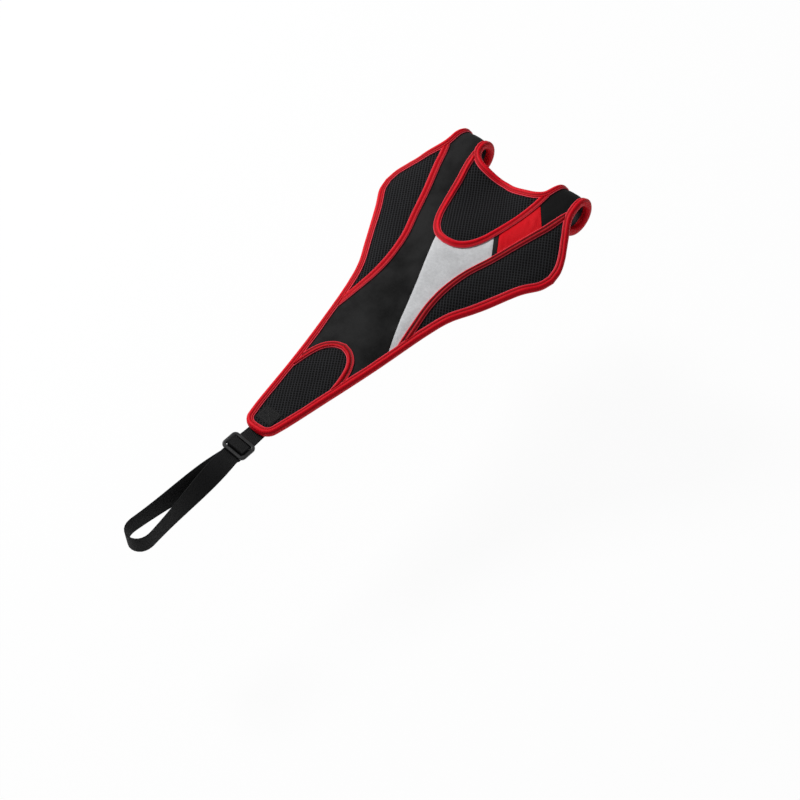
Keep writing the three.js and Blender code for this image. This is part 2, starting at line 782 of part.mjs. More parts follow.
// The webbing's end turns round the slider's bar and is stitched back below its own run
function endPlaces() {
  const under = -web_layer;
  const lowest = -2 * web_layer;
  const end = slider_distance + slider_half_length - layer_gap;
  return [
    ...bentPlaces([
      [loop_start, under],
      [slider_distance + bar_reach, under],
      [slider_distance + bar_reach, bar_crest],
      [slider_distance - bar_reach, bar_crest],
      [slider_distance - bar_reach, lowest],
      [end, lowest],
    ]),
    sliderPlace(end, lowest),
  ];
}

const web_places = [
  ...feedPlaces(), ...runPlaces(1), ...postPlaces(), ...runPlaces(-1).reverse(), ...endPlaces(),
];
const web_stations = web_places.map(({ middle, width_way }, i) => {
  const before = web_places[Math.max(0, i - 1)].middle;
  const after = web_places[Math.min(web_places.length - 1, i + 1)].middle;
  const travel = after.clone().sub(before).normalize();
  const face_way = travel.cross(width_way).normalize();
  return (across, height) => middle.clone()
    .addScaledVector(width_way, across)
    .addScaledVector(face_way, height);
});
const half_web = web_width / 2;
const half_thickness = web_thickness / 2;
const web_section = [
  [-half_web, 0], [-half_web + web_edge, -half_thickness], [half_web - web_edge, -half_thickness],
  [half_web, 0], [half_web - web_edge, half_thickness], [-half_web + web_edge, half_thickness],
];
const webbing = sweptBody(web_stations, web_section, false);

// Slider: a moulded frame with rounded sides, and a thinner bar across its middle

function sliderGeometry() {
  const inner_width = web_width + 2 * slider_slot_clearance;
  const frame_line = roundedRectangle(
    0, 0, inner_width + 2 * slider_rim, 2 * slider_half_length, slider_corner_radius,
  );
  const frame_section = roundedRectangle(
    slider_rim / 2, 0, slider_rim, slider_thickness, slider_softness,
  );
  const frame_stations = frame_line.map((p, i) => {
    const inward = leftOf(frame_line, i, true);
    return (across, height) => (
      new THREE.Vector3(p.x + inward.x * across, p.y + inward.y * across, height)
    );
  });
  const frame = sweptBody(frame_stations, frame_section.map((p) => [p.x, p.y]), true);
  const bar_section = roundedRectangle(0, 0, slider_bar, slider_bar_thickness, slider_bar_softness);
  const bar_half_length = inner_width / 2 + slider_rim / 2;
  const bar_stations = [-bar_half_length, bar_half_length].map((x) => (
    (along, height) => new THREE.Vector3(x, along, height)
  ));
  const bar = sweptBody(bar_stations, bar_section.map((p) => [p.x, p.y]), false);
  return toGeometry(toSolid(frame).add(toSolid(bar)));
}

// Colours and finishes

const red_tape = new THREE.MeshStandardMaterial({ color: '#c8101e', roughness: 0.55 });
const black_mesh = new THREE.MeshStandardMaterial({ color: '#101012', roughness: 0.9 });
const black_cloth = new THREE.MeshStandardMaterial({ color: '#202124', roughness: 0.75 });
const pale_cloth = new THREE.MeshStandardMaterial({ color: '#cfd0d2', roughness: 0.8 });
const red_cloth = new THREE.MeshStandardMaterial({ color: '#c0141f', roughness: 0.7 });
const grey_lining = new THREE.MeshStandardMaterial({ color: '#3a3b3e', roughness: 0.95 });
const black_webbing = new THREE.MeshStandardMaterial({ color: '#141416', roughness: 0.7 });
const black_plastic = new THREE.MeshStandardMaterial({ color: '#0c0c0d', roughness: 0.4 });
const black_pile = new THREE.MeshStandardMaterial({ color: '#18181a', roughness: 1 });

// The guard

const guard = new THREE.Group();

function addPiece(name, geometry, material) {
  const piece = new THREE.Mesh(geometry, material);
  piece.name = name;
  guard.add(piece);
  return piece;
}

addPiece('lining', clothLayer(panel_edge, 0, lining_thickness), grey_lining);

const panel_materials = {
  pale_panel: pale_cloth,
  label_patch: red_cloth,
  main_panel: black_cloth,
  divider_strip: black_cloth,
  right_arm_panel: black_cloth,
};
for (const [name, outline] of Object.entries(panels)) {
  const panel = clothLayer(outline, shell_bottom, stack_height);
  addPiece(name, panel, panel_materials[name] ?? black_mesh);
}

addPiece('edge_binding', edge_binding, red_tape);
addPiece('right_wing_tape', seamTape(wing_seam), red_tape);
addPiece('left_wing_tape', seamTape(mirrorLine(wing_seam)), red_tape);
addPiece('neck_tape', seamTape(neck_seam), red_tape);
addPiece('tail_tape', seamTape(tail_seam), red_tape);

for (const [name, side] of [['right', 1], ['left', -1]]) {
  addPiece(`${name}_hook_pad`, hookPad(side), black_pile);
  addPiece(`${name}_loop_pad`, loopPad(side), black_pile);
}

addPiece('anchor_patch', anchor_patch, black_webbing);
addPiece('webbing_loop', webbing, black_webbing);

const slider = addPiece('slider', sliderGeometry(), black_plastic);
const slider_place = sliderPlace(slider_distance, frame_up);
const slider_face = slider_place.width_way.clone().cross(web_along.clone().negate());
slider.position.copy(slider_place.middle);
slider.setRotationFromMatrix(
  new THREE.Matrix4().makeBasis(slider_place.width_way, web_along.clone().negate(), slider_face),
);

export default guard;
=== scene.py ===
"""Bicycle sweat guard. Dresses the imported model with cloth, tape, webbing and moulded plastic."""
import math

import bpy
import numpy as np
from mathutils import Matrix, Vector
from mathutils.geometry import delaunay_2d_cdt


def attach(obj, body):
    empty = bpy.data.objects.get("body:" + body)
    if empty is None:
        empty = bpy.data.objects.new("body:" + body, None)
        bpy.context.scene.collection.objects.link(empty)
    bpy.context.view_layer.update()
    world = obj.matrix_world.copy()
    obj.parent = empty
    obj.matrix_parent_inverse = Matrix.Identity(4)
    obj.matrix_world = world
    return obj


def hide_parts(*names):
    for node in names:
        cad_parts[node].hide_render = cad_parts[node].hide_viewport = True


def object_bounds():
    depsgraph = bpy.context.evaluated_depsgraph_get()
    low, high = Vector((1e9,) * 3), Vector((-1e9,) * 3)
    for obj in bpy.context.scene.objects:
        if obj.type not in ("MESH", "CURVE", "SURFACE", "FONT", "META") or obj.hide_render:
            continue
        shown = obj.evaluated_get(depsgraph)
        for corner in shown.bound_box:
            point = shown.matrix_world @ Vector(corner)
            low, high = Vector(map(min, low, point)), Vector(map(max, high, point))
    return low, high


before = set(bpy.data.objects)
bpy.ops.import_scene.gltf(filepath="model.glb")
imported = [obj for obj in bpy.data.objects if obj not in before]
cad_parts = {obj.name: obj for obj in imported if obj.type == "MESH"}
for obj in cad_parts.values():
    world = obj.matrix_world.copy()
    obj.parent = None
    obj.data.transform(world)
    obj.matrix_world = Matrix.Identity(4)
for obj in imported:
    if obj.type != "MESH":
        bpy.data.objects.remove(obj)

bl_info = {
    "name": "Bicycle sweat guard",
    "version": (1, 0, 0),
    "blender": (4, 5, 0),
    "location": "3D View > Sidebar > Sweat guard",
    "description": "Builds the cloth, tapes, webbing and slider of a bicycle sweat guard",
    "category": "Object",
}

CAD_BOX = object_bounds()
MM = 0.001

# Sizes in millimetres, the same as those of the solids. +Y is forwards, +X the rider's right.
BAR_DIAMETER = 35.0
POST_DIAMETER = 31.0
STRAP_SLOPE = math.radians(3.7)
LINING_THICKNESS = 2.4
SHELL_THICKNESS = 1.4
LAYER_GAP = 0.5
TAPE_GAP = 0.65
SEAM_GAP = 1.2
BUTT_GAP = 0.4
SLEEVE_CLEARANCE = 0.5
TAPE_THICKNESS = 1.2
EDGE_BAND_WIDTH = 9.0
SEAM_BAND_WIDTH = 9.0
ARM_INNER_X = 57.0
ARM_OUTER_X = 101.0
ARM_SLOPE = math.radians(15.6)
FLAP_RISE = math.radians(33)
FLAP_LENGTH = 76.0
FLAP_CORNER_RADIUS = 14.0
FLAP_LANDING_SOFTNESS = 9.0
PAD_THICKNESS = 1.2
PAD_WIDTH = 24.0
PAD_LENGTH = 27.0
PAD_CORNER_RADIUS = 3.0
PAD_END_MARGIN = 11.0
DIVIDER_WIDTH = 5.4
WEB_WIDTH = 25.0
WEB_THICKNESS = 1.4
WEB_SEWN_LENGTH = 24.0
WEB_DIP_START = 7.0
WEB_DIP_END = 2.0
WEB_BEND = 1.2
LOOP_REACH = 187.0
SLIDER_DISTANCE = 27.0
SLIDER_TURN = math.radians(9)
SLIDER_RIM = 5.4
SLIDER_THICKNESS = 4.2
SLIDER_SLOT = 4.4
SLIDER_BAR = 6.0
SLIDER_BAR_THICKNESS = 2.0
ANCHOR_LENGTH = 21.0
ANCHOR_MARGIN = 5.5

# The moulded slider, with a frame that is slimmer than the solid's
SLIM_RIM = 4.6
SLIM_CORNER = 6.2
SLIM_CLEARANCE = 0.6
SLIDER_SOFTNESS = 1.3
BAR_CORNER = 1.2
BAR_SOFTNESS = 0.9

SLEEVE_RADIUS = BAR_DIAMETER / 2 + SLEEVE_CLEARANCE
STACK_HEIGHT = LINING_THICKNESS + LAYER_GAP + SHELL_THICKNESS
SHELL_BOTTOM = LINING_THICKNESS + LAYER_GAP
BAND_BOTTOM = STACK_HEIGHT + LAYER_GAP
EDGE_INSET = TAPE_THICKNESS + LAYER_GAP
FLAP_CLEARANCE = 2 * PAD_THICKNESS + 4 * LAYER_GAP

# Half of the flat outline, the front edge between the arms, and the seams, as in the solids
SIDE_POINTS = [
    (0, -465), (12, -463.5), (20.2, -457), (24.2, -445), (38, -370), (51, -302), (64, -238),
    (73.5, -207), (89.5, -178), (117, -129), (131.5, -107), (136, -90), (133.5, -73), (117, -40),
    (104.5, -17), (ARM_OUTER_X, 8),
]
WING_TIP_INDEX = 11
NECK_POINTS = [(ARM_INNER_X, 14), (56, 2), (52, -7), (43, -13), (28, -15.5), (0, -15)]
WING_SEAM_POINTS = [
    (110, 0), (96.5, -22), (87, -49), (74.5, -82), (62, -118), (50, -150), (44, -183),
    (43.5, -210), (47, -238), (52, -268), (60, -300),
]
NECK_SEAM_POINTS = [
    (50, 8), (57, -4), (56.5, -22), (50.5, -50), (41.5, -81), (33.5, -103.5), (23.5, -119),
    (12, -127.3), (0, -129.7),
]
TAIL_SEAM_POINTS = [
    (47, -420), (38, -390), (33.5, -366), (30, -346), (25.5, -331), (19, -320.5), (10, -314),
    (0, -311.5),
]
PALE_JOIN_POINTS = [(-21, -117), (-14, -134), (7.5, -189), (30, -247), (60, -318)]
DIVIDER_JOIN_POINTS = [(35.8, -75.2), (72, -126.5)]
LABEL_JOIN_POINTS = [(50, -13), (95, -61)]

# Columns: y, then the underside's centre height, ridge x, ridge height, edge x and edge height
DRAPE = np.array([
    (-460, -67.5, 6, -67.5, 24, -68),
    (-330, -54.5, 14, -55, 45.5, -58),
    (-240, -37, 26, -38, 63.5, -45),
    (-170, -18.5, 44, -22.5, 94, -34),
    (-120, -6.5, 58, -13, 122.5, -22.5),
    (-85, -3.5, 70, -5, 135.5, -20),
    (-50, -3, 78, 4.5, 124.5, -8),
    (-10, 5, 80, 15, 105, 14),
], float)
CENTRE, RIDGE_X, RIDGE, EDGE_X, EDGE = 1, 2, 3, 4, 5
ARM_BLEND_Y = (-55.0, -12.0)
ARM_BLEND_X = (5.0, 48.0)
ARM_BLEND_FADE = 60.0

TAIL_END = SIDE_POINTS[0][1]
TANGENT_Y = -SLEEVE_RADIUS * math.sin(ARM_SLOPE)
TANGENT_Z = SLEEVE_RADIUS * math.cos(ARM_SLOPE)
WRAP_ANGLE = math.pi + ARM_SLOPE + FLAP_RISE
WRAP_END = TANGENT_Y + SLEEVE_RADIUS * WRAP_ANGLE
FLAP_END = WRAP_END + FLAP_LENGTH

# Fineness of lines and cloth, in millimetres, and of curves, in samples from point to point
LINE_STEP = 2.5
CORNER_STEP = 1.5
RECTANGLE_STEP = 2.0
CURVE_SAMPLES = 40
CLOTH_STEP = 3.0
FINE_STEP = 1.5
PAD_STEP = 2.0
ROW_SHARE = 0.866
EDGE_SHARE = 0.45
NORMAL_STEP = 0.05
SAME_POINT = 0.01


# The draped surface, which the flat pattern is laid on


def smooth_step(value, low, high):
    t = np.clip((value - low) / (high - low), 0, 1)
    return t * t * (3 - 2 * t)


def soft_minimum(a, b, softness):
    share = np.clip(0.5 + 0.5 * (b - a) / softness, 0, 1)
    return b + (a - b) * share - softness * share * (1 - share)


def drape_value(column, y):
    """One column of the drape at y, on a smooth curve through the sections."""
    places, values = DRAPE[:, 0], DRAPE[:, column]
    last = len(places) - 1
    i = np.clip(np.searchsorted(places, y, side="left") - 1, 0, last - 1)

    def slope(a, b):
        return (values[b] - values[a]) / (places[b] - places[a])

    start = slope(np.maximum(0, i - 1), i + 1)
    end = slope(i, np.minimum(last, i + 2))
    length = places[i + 1] - places[i]
    t = (y - places[i]) / length
    rise = 2 * t**3 - 3 * t**2
    return (
        (1 + rise) * values[i]
        - rise * values[i + 1]
        + (t**3 - 2 * t**2 + t) * length * start
        + (t**3 - t**2) * length * end
    )


def body_height(x, y):
    reach = np.abs(x)
    centre, ridge, ridge_x = (drape_value(c, y) for c in (CENTRE, RIDGE, RIDGE_X))
    height = centre + (ridge - centre) * smooth_step(reach, 0, ridge_x)
    share = (reach - ridge_x) / (drape_value(EDGE_X, y) - ridge_x)
    drooping = ridge + (drape_value(EDGE, y) - ridge) * share**2
    height = np.where(reach > ridge_x, drooping, height)
    taut = TANGENT_Z + (y - TANGENT_Y) * math.tan(ARM_SLOPE)
    weight = smooth_step(y, *ARM_BLEND_Y) * smooth_step(reach, *ARM_BLEND_X) \
        * (1 - smooth_step(reach, ARM_OUTER_X, ARM_OUTER_X + ARM_BLEND_FADE))
    return height + (taut - height) * weight


def surface_point(u, v):
    """Where the flat pattern's point lies: on the body, round the bar, or on the flap below."""
    u, v = np.broadcast_arrays(np.asarray(u, float), np.asarray(v, float))
    angle = (v - TANGENT_Y) / SLEEVE_RADIUS - ARM_SLOPE
    back = v - WRAP_END
    flap_y = -SLEEVE_RADIUS * math.sin(FLAP_RISE) - back * math.cos(FLAP_RISE)
    rising = -SLEEVE_RADIUS * math.cos(FLAP_RISE) + back * math.sin(FLAP_RISE)
    flap_z = soft_minimum(rising, body_height(u, flap_y) - FLAP_CLEARANCE, FLAP_LANDING_SOFTNESS)
    y = np.where(v <= TANGENT_Y, v, np.where(v <= WRAP_END, SLEEVE_RADIUS * np.sin(angle), flap_y))
    z = np.where(
        v <= TANGENT_Y,
        body_height(u, v),
        np.where(v <= WRAP_END, SLEEVE_RADIUS * np.cos(angle), flap_z),
    )
    return np.stack([u, y, z], axis=-1)


def cloth_point(u, v, height):
    """A point of the cloth at a height above the lining's underside, in millimetres."""
    along_u = surface_point(u + NORMAL_STEP, v) - surface_point(u - NORMAL_STEP, v)
    along_v = surface_point(u, v + NORMAL_STEP) - surface_point(u, v - NORMAL_STEP)
    normal = np.cross(along_u, along_v)
    normal /= np.linalg.norm(normal, axis=-1, keepdims=True)
    return surface_point(u, v) + normal * np.asarray(height, float)[..., None]


# Lines on the flat pattern


def curve_through(points, step):
    """Evenly spaced points on a smooth curve through the given ones."""
    points = np.array(points, float)
    padded = np.vstack([2 * points[0] - points[1], points, 2 * points[-1] - points[-2]])
    samples = []
    for i in range(len(points) - 1):
        p0, p1, p2, p3 = padded[i:i + 4]
        d0, d1, d2 = (np.linalg.norm(b - a) ** 0.5 for a, b in ((p0, p1), (p1, p2), (p2, p3)))
        start = ((p1 - p0) / d0 - (p2 - p0) / (d0 + d1) + (p2 - p1) / d1) * d1
        end = ((p2 - p1) / d1 - (p3 - p1) / (d1 + d2) + (p3 - p2) / d2) * d1
        t = np.linspace(0, 1, CURVE_SAMPLES, endpoint=False)[:, None]
        samples.append(
            p1 + start * t + (3 * (p2 - p1) - 2 * start - end) * t**2
            + (2 * (p1 - p2) + start + end) * t**3
        )
    return respaced(np.vstack(samples + [points[-1:]]), step)


def lengths_along(line):
    return np.concatenate([[0], np.cumsum(np.linalg.norm(np.diff(line, axis=0), axis=1))])


def respaced(line, step=None, count=None):
    """The same line with evenly spaced points."""
    along = lengths_along(line)
    count = count or max(2, math.ceil(along[-1] / step) + 1)
    places = np.linspace(0, along[-1], count)
    return np.stack([np.interp(places, along, line[:, k]) for k in range(line.shape[1])], axis=-1)


def corner_line(centre, radius, start, end):
    angles = np.linspace(start, end, max(4, math.ceil(radius * abs(end - start) / CORNER_STEP)))
    return np.stack([centre[0] + radius * np.cos(angles), centre[1] + radius * np.sin(angles)], axis=-1)


def straight_line(a, b):
    return respaced(np.array([a, b], float), LINE_STEP)


def mirror_line(line):
    return (line * (-1, 1))[::-1]


def join_lines(*lines):
    joined = np.vstack(lines)
    keep = np.concatenate([[True], np.linalg.norm(np.diff(joined, axis=0), axis=1) > SAME_POINT])
    return joined[keep]


def closed_line(loop):
    """A loop with its first point again at its end."""
    return np.vstack([loop, loop[:1]])


def left_of(line, closed=False):
    """Unit vectors to the left of the line's travel."""
    if closed:
        travel = np.roll(line, -1, axis=0) - np.roll(line, 1, axis=0)
    else:
        travel = np.gradient(line, axis=0)
    travel = travel / np.linalg.norm(travel, axis=1, keepdims=True)
    return np.stack([-travel[:, 1], travel[:, 0]], axis=-1)


def offset_line(line, distance, closed=False):
    return line + left_of(line, closed) * distance


def cross2(a, b):
    return a[..., 0] * b[..., 1] - a[..., 1] * b[..., 0]


def meeting(a, b):
    """Where two lines meet: the place on a, the place on b, and the point."""
    for i in (0, len(a) - 1):
        for j in (0, len(b) - 1):
            if np.linalg.norm(a[i] - b[j]) < SAME_POINT:
                return i, j, a[i]
    edge_a, edge_b = np.diff(a, axis=0)[:, None], np.diff(b, axis=0)[None]
    between = b[None, :-1] - a[:-1, None]
    area = cross2(edge_a, edge_b)
    area = np.where(np.abs(area) < 1e-12, 1e-12, area)
    t, s = cross2(between, edge_b) / area, cross2(between, edge_a) / area
    hits = np.argwhere((t >= 0) & (t <= 1) & (s >= 0) & (s <= 1))
    if not len(hits):
        raise RuntimeError("two lines of the pattern do not meet")
    i, j = hits[0]
    return i + t[i, j], j + s[i, j], a[i] + t[i, j] * (a[i + 1] - a[i])


def panel_outline(*lines):
    """Outline of a panel whose sides are stretches of the given lines, in order round it."""
    corners = [meeting(line, lines[(i + 1) % len(lines)]) for i, line in enumerate(lines)]
    sides = []
    for i, line in enumerate(lines):
        start, end = corners[i - 1][1], corners[i][0]
        places = np.arange(len(line))
        inside = line[(places > min(start, end)) & (places < max(start, end))]
        sides += [corners[i - 1][2][None], inside if start < end else inside[::-1]]
    outline = join_lines(*sides)
    if np.linalg.norm(outline[0] - outline[-1]) < SAME_POINT:
        outline = outline[:-1]
    return outline if flat_area(outline) > 0 else outline[::-1]


def flat_area(outline):
    return float(cross2(outline, np.roll(outline, -1, axis=0)).sum() / 2)


def rounded_rectangle(centre, width, length, radius):
    u, v, quarter = width / 2 - radius, length / 2 - radius, math.pi / 2
    corners = [(1, -1, -quarter), (1, 1, 0), (-1, 1, quarter), (-1, -1, 2 * quarter)]
    arcs = [
        corner_line((centre[0] + a * u, centre[1] + b * v), radius, start, start + quarter)
        for a, b, start in corners
    ]
    return respaced(closed_line(join_lines(*arcs)), RECTANGLE_STEP)[:-1]


def distance_to(points, line, closed=False):
    """Distance of each point from a line."""
    ends = np.roll(line, -1, axis=0) if closed else line[1:]
    starts = line if closed else line[:-1]
    best = np.full(len(points), 1e9)
    for a, b in zip(starts, ends):
        edge = b - a
        t = np.clip(((points - a) @ edge) / max(float(edge @ edge), 1e-12), 0, 1)
        best = np.minimum(best, np.linalg.norm(points - a - t[:, None] * edge, axis=1))
    return best


def inside_outline(points, outline):
    x, y = points[:, 0], points[:, 1]
    inside = np.zeros(len(points), bool)
    for (x0, y0), (x1, y1) in zip(outline, np.roll(outline, -1, axis=0)):
        crosses = (y0 > y) != (y1 > y)
        if crosses.any():
            at = x0 + (y - y0) * (x1 - x0) / (y1 - y0 if y1 != y0 else 1e-12)
            inside ^= crosses & (x < at)
    return inside


class Pattern:
    """The lines of the flat pattern and the outlines of its panels."""

    def __init__(self):
        self.hip = curve_through(SIDE_POINTS[:WING_TIP_INDEX + 1], LINE_STEP)
        corner, radius, quarter = FLAP_END - FLAP_CORNER_RADIUS, FLAP_CORNER_RADIUS, math.pi / 2
        self.arm = join_lines(
            curve_through(SIDE_POINTS[WING_TIP_INDEX:], LINE_STEP),
            straight_line(SIDE_POINTS[-1], (ARM_OUTER_X, corner)),
            corner_line((ARM_OUTER_X - radius, corner), radius, 0, quarter),
            corner_line((ARM_INNER_X + radius, corner), radius, quarter, 2 * quarter),
            straight_line((ARM_INNER_X, corner), NECK_POINTS[0]),
            curve_through(NECK_POINTS, LINE_STEP),
        )
        right = join_lines(self.hip, self.arm)
        self.edge = join_lines(right, mirror_line(right))[:-1]
        self.lining = offset_line(self.edge, EDGE_INSET, True)
        hips, arms = len(self.hip), len(self.arm)
        right_hip, right_arm = self.lining[:hips], self.lining[hips - 1:hips + arms - 1]
        left_arm, left_hip = mirror_line(right_arm), mirror_line(right_hip)
        self.wing_seam = curve_through(WING_SEAM_POINTS, LINE_STEP)
        right = curve_through(NECK_SEAM_POINTS, LINE_STEP)
        self.neck_seam = join_lines(right, mirror_line(right))
        right = curve_through(TAIL_SEAM_POINTS, LINE_STEP)
        self.tail_seam = join_lines(right, mirror_line(right))
        self.pale_join = curve_through(PALE_JOIN_POINTS, LINE_STEP)
        self.divider_join = straight_line(*DIVIDER_JOIN_POINTS)
        self.label_join = straight_line(*LABEL_JOIN_POINTS)
        seam, butt, strip = SEAM_GAP / 2, BUTT_GAP / 2, DIVIDER_WIDTH / 2
        band = offset_line(self.wing_seam, -seam)
        outside_neck = offset_line(self.neck_seam, seam)
        wing = panel_outline(right_hip, right_arm, offset_line(self.wing_seam, seam))
        self.mesh_panels = {
            "right_wing_mesh": wing,
            "left_wing_mesh": mirror_line(wing),
            "neck_mesh": panel_outline(right_arm, left_arm, offset_line(self.neck_seam, -seam)),
            "tail_mesh": panel_outline(right_hip, offset_line(self.tail_seam, seam), left_hip),
        }
        self.cloth_panels = {
            "main_panel": panel_outline(
                left_hip, mirror_line(band), left_arm, outside_neck,
                offset_line(self.pale_join, -butt), right_hip, offset_line(self.tail_seam, -seam),
            ),
            "pale_panel": panel_outline(
                outside_neck, offset_line(self.pale_join, butt), right_hip, band,
                offset_line(self.divider_join, -strip - BUTT_GAP),
            ),
            "divider_strip": panel_outline(
                outside_neck, offset_line(self.divider_join, -strip), band,
                offset_line(self.divider_join, strip),
            ),
            "label_patch": panel_outline(
                outside_neck, offset_line(self.divider_join, strip + BUTT_GAP), band,
                offset_line(self.label_join, -butt),
            ),
            "right_arm_panel": panel_outline(
                right_arm, outside_neck, offset_line(self.label_join, butt), band,
            ),
        }
        self.seams = {
            "right_wing_tape": self.wing_seam,
            "left_wing_tape": mirror_line(self.wing_seam),
            "neck_tape": self.neck_seam,
            "tail_tape": self.tail_seam,
        }

    def uncovered(self, points):
        """How far each point is from the nearest tape, with minus under a tape."""
        free = distance_to(points, self.edge, True) - EDGE_BAND_WIDTH
        for line in self.seams.values():
            free = np.minimum(free, distance_to(points, line) - SEAM_BAND_WIDTH / 2)
        return free


PATTERN = Pattern()


def ripple(u, v, size, seed):
    """Soft uneven waves, mostly from -1 to 1, of about the given size in millimetres."""
    waves, full_turn = 8, 2 * math.pi
    phases = np.random.default_rng(seed).uniform(0, full_turn, waves)
    directions = np.random.default_rng(seed + 1).uniform(0, full_turn, waves)
    total = sum(
        np.sin((u * math.cos(d) + v * math.sin(d)) * full_turn / (size * (0.7 + 0.12 * k)) + p)
        for k, (d, p) in enumerate(zip(directions, phases))
    )
    return total * 2 / waves


# Meshes


def new_piece(name, vertices, faces, uvs, material, node, slot, smooth_angle=50):
    """Makes a finished piece from vertices in millimetres, and lets it stand for a solid."""
    mesh = bpy.data.meshes.new(name)
    mesh.from_pydata((np.asarray(vertices, float) * MM).tolist(), [], faces)
    layer = mesh.uv_layers.new(name="pattern")
    corners = np.empty(len(mesh.loops), int)
    mesh.loops.foreach_get("vertex_index", corners)
    layer.data.foreach_set("uv", (np.asarray(uvs, float)[corners] * MM).ravel())
    mesh.materials.append(material)
    piece = bpy.data.objects.new(name, mesh)
    bpy.context.scene.collection.objects.link(piece)
    finish_piece(piece, node, smooth_angle)
    return piece


def finish_piece(piece, node, smooth_angle=50):
    select_only(piece)
    bpy.ops.object.shade_smooth_by_angle(angle=math.radians(smooth_angle))
    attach(piece, "root")
    if node:
        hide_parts(node)


def select_only(*pieces):
    bpy.ops.object.select_all(action="DESELECT")
    for piece in pieces:
        piece.select_set(True)
    bpy.context.view_layer.objects.active = pieces[0]


def triangulated(outline, step):
    """Fine triangles inside an outline: their points and corners."""
    low, high = outline.min(0), outline.max(0)
    rows = []
    for k, v in enumerate(np.arange(low[1], high[1], step * ROW_SHARE)):
        u = np.arange(low[0] + (k % 2) * step / 2, high[0], step)
        rows.append(np.stack([u, np.full_like(u, v)], axis=-1))
    grid = np.vstack(rows) if rows else np.zeros((0, 2))
    grid = grid[inside_outline(grid, outline)]
    if len(grid):
        grid = grid[distance_to(grid, outline, True) > step * EDGE_SHARE]
    points = [Vector(p) for p in np.vstack([outline, grid])]
    verts, _, faces, *_ = delaunay_2d_cdt(points, [], [list(range(len(outline)))], 1, 1e-6)
    return np.array([tuple(v) for v in verts]), [list(f) for f in faces]


def layer_body(outline, low, high, step=CLOTH_STEP):
    """Closed layer of cloth between two heights, each a number or a function of the points."""
    points, faces = triangulated(outline, step)
    count = len(points)
    directed = {(f[i], f[(i + 1) % 3]) for f in faces for i in range(3)}
    walls = [(a, b) for a, b in directed if (b, a) not in directed]
    bodies = [f[::-1] for f in faces] + [[i + count for i in f] for f in faces]
    bodies += [[a, b, b + count, a + count] for a, b in sorted(walls)]
    heights = [h(points) if callable(h) else np.full(count, h) for h in (low, high)]
    vertices = np.vstack([cloth_point(points[:, 0], points[:, 1], h) for h in heights])
    return vertices, bodies, np.vstack([points, points])


def swept_body(grid, uvs, closed):
    """Closed body from rings of points: grid[station, ring point]."""
    stations, size = grid.shape[:2]
    index = np.arange(stations * size).reshape(stations, size)
    faces = []
    for i in range(stations if closed else stations - 1):
        here, there = index[i], index[(i + 1) % stations]
        for j in range(size):
            k = (j + 1) % size
            faces.append([int(here[j]), int(there[j]), int(there[k]), int(here[k])])
    if not closed:
        faces.append([int(i) for i in index[0]])
        faces.append([int(i) for i in index[-1][::-1]])
    vertices = grid.reshape(-1, 3)
    volume = 0.0
    for f in faces:
        a, b, c = vertices[f[0]], vertices[f[1]], vertices[f[2]]
        volume += a @ np.cross(b, c)
        if len(f) == 4:
            volume += a @ np.cross(c, vertices[f[3]])
    if volume < 0:
        faces = [f[::-1] for f in faces]
    return vertices, faces, uvs.reshape(-1, 2)


# Materials


class Net:
    """Short ways to add and join nodes in one tree."""

    def __init__(self, tree):
        self.tree = tree
        self.column = 0

    def add(self, kind, output=0, settings=None, **inputs):
        node = self.tree.nodes.new(kind)
        self.column += 1
        node.location = (self.column % 8 * 190 - 900, -(self.column // 8) * 240)
        for key, value in (settings or {}).items():
            setattr(node, key, value)
        for key, value in inputs.items():
            self.join(value, node.inputs[int(key[1:]) if key[1:].isdigit() else key.replace("_", " ")])
        return node.outputs[output] if node.outputs else node

    def join(self, value, socket):
        """Feeds a socket from another one, or sets it to a constant."""
        if isinstance(value, bpy.types.NodeSocket):
            self.tree.links.new(value, socket)
        else:
            socket.default_value = value

    def math(self, operation, a, b=0.0, c=0.0):
        return self.add("ShaderNodeMath", settings={"operation": operation}, _0=a, _1=b, _2=c)

    def ranged(self, value, low, high, to_low=0.0, to_high=1.0):
        return self.add("ShaderNodeMapRange", settings={"interpolation_type": "SMOOTHSTEP"},
                        _0=value, _1=low, _2=high, _3=to_low, _4=to_high)

    def mix(self, share, a, b):
        return self.add("ShaderNodeMix", 2, {"data_type": "RGBA"}, _0=share, _6=a, _7=b)

    def dot(self, vector, direction):
        return self.add("ShaderNodeVectorMath", 1, {"operation": "DOT_PRODUCT"}, _0=vector, _1=direction)

    def noise(self, vector, scale, detail, roughness):
        return self.add(
            "ShaderNodeTexNoise", Vector=vector, Scale=scale, Detail=detail, Roughness=roughness)


def new_group(name, inputs, outputs):
    """Empty node group with named sockets: its tree, its helper, and its input and output ends."""
    group = bpy.data.node_groups.new(name, "ShaderNodeTree")
    kinds = {"value": "NodeSocketFloat", "vector": "NodeSocketVector", "colour": "NodeSocketColor"}
    for label, kind, default in inputs:
        socket = group.interface.new_socket(name=label, in_out="INPUT", socket_type=kinds[kind])
        if default is not None:
            socket.default_value = default
    for label, kind in outputs:
        group.interface.new_socket(name=label, in_out="OUTPUT", socket_type=kinds[kind])
    entry = group.nodes.new("NodeGroupInput")
    exit_node = group.nodes.new("NodeGroupOutput")
    entry.location, exit_node.location = (-1200, 0), (900, 0)
    return group, Net(group), entry.outputs, exit_node.inputs


def pattern_angles(net, entry, repeats, turn):
    """The pattern's place along and across it, as angles of so many repeats a metre."""
    place = net.add("ShaderNodeVectorMath", 0, {"operation": "SCALE"}, Vector=entry["Pattern"],
                    Scale=net.math("MULTIPLY", entry[repeats], turn))
    return net.dot(place, (1, 0, 0)), net.dot(place, (0, 1, 0))


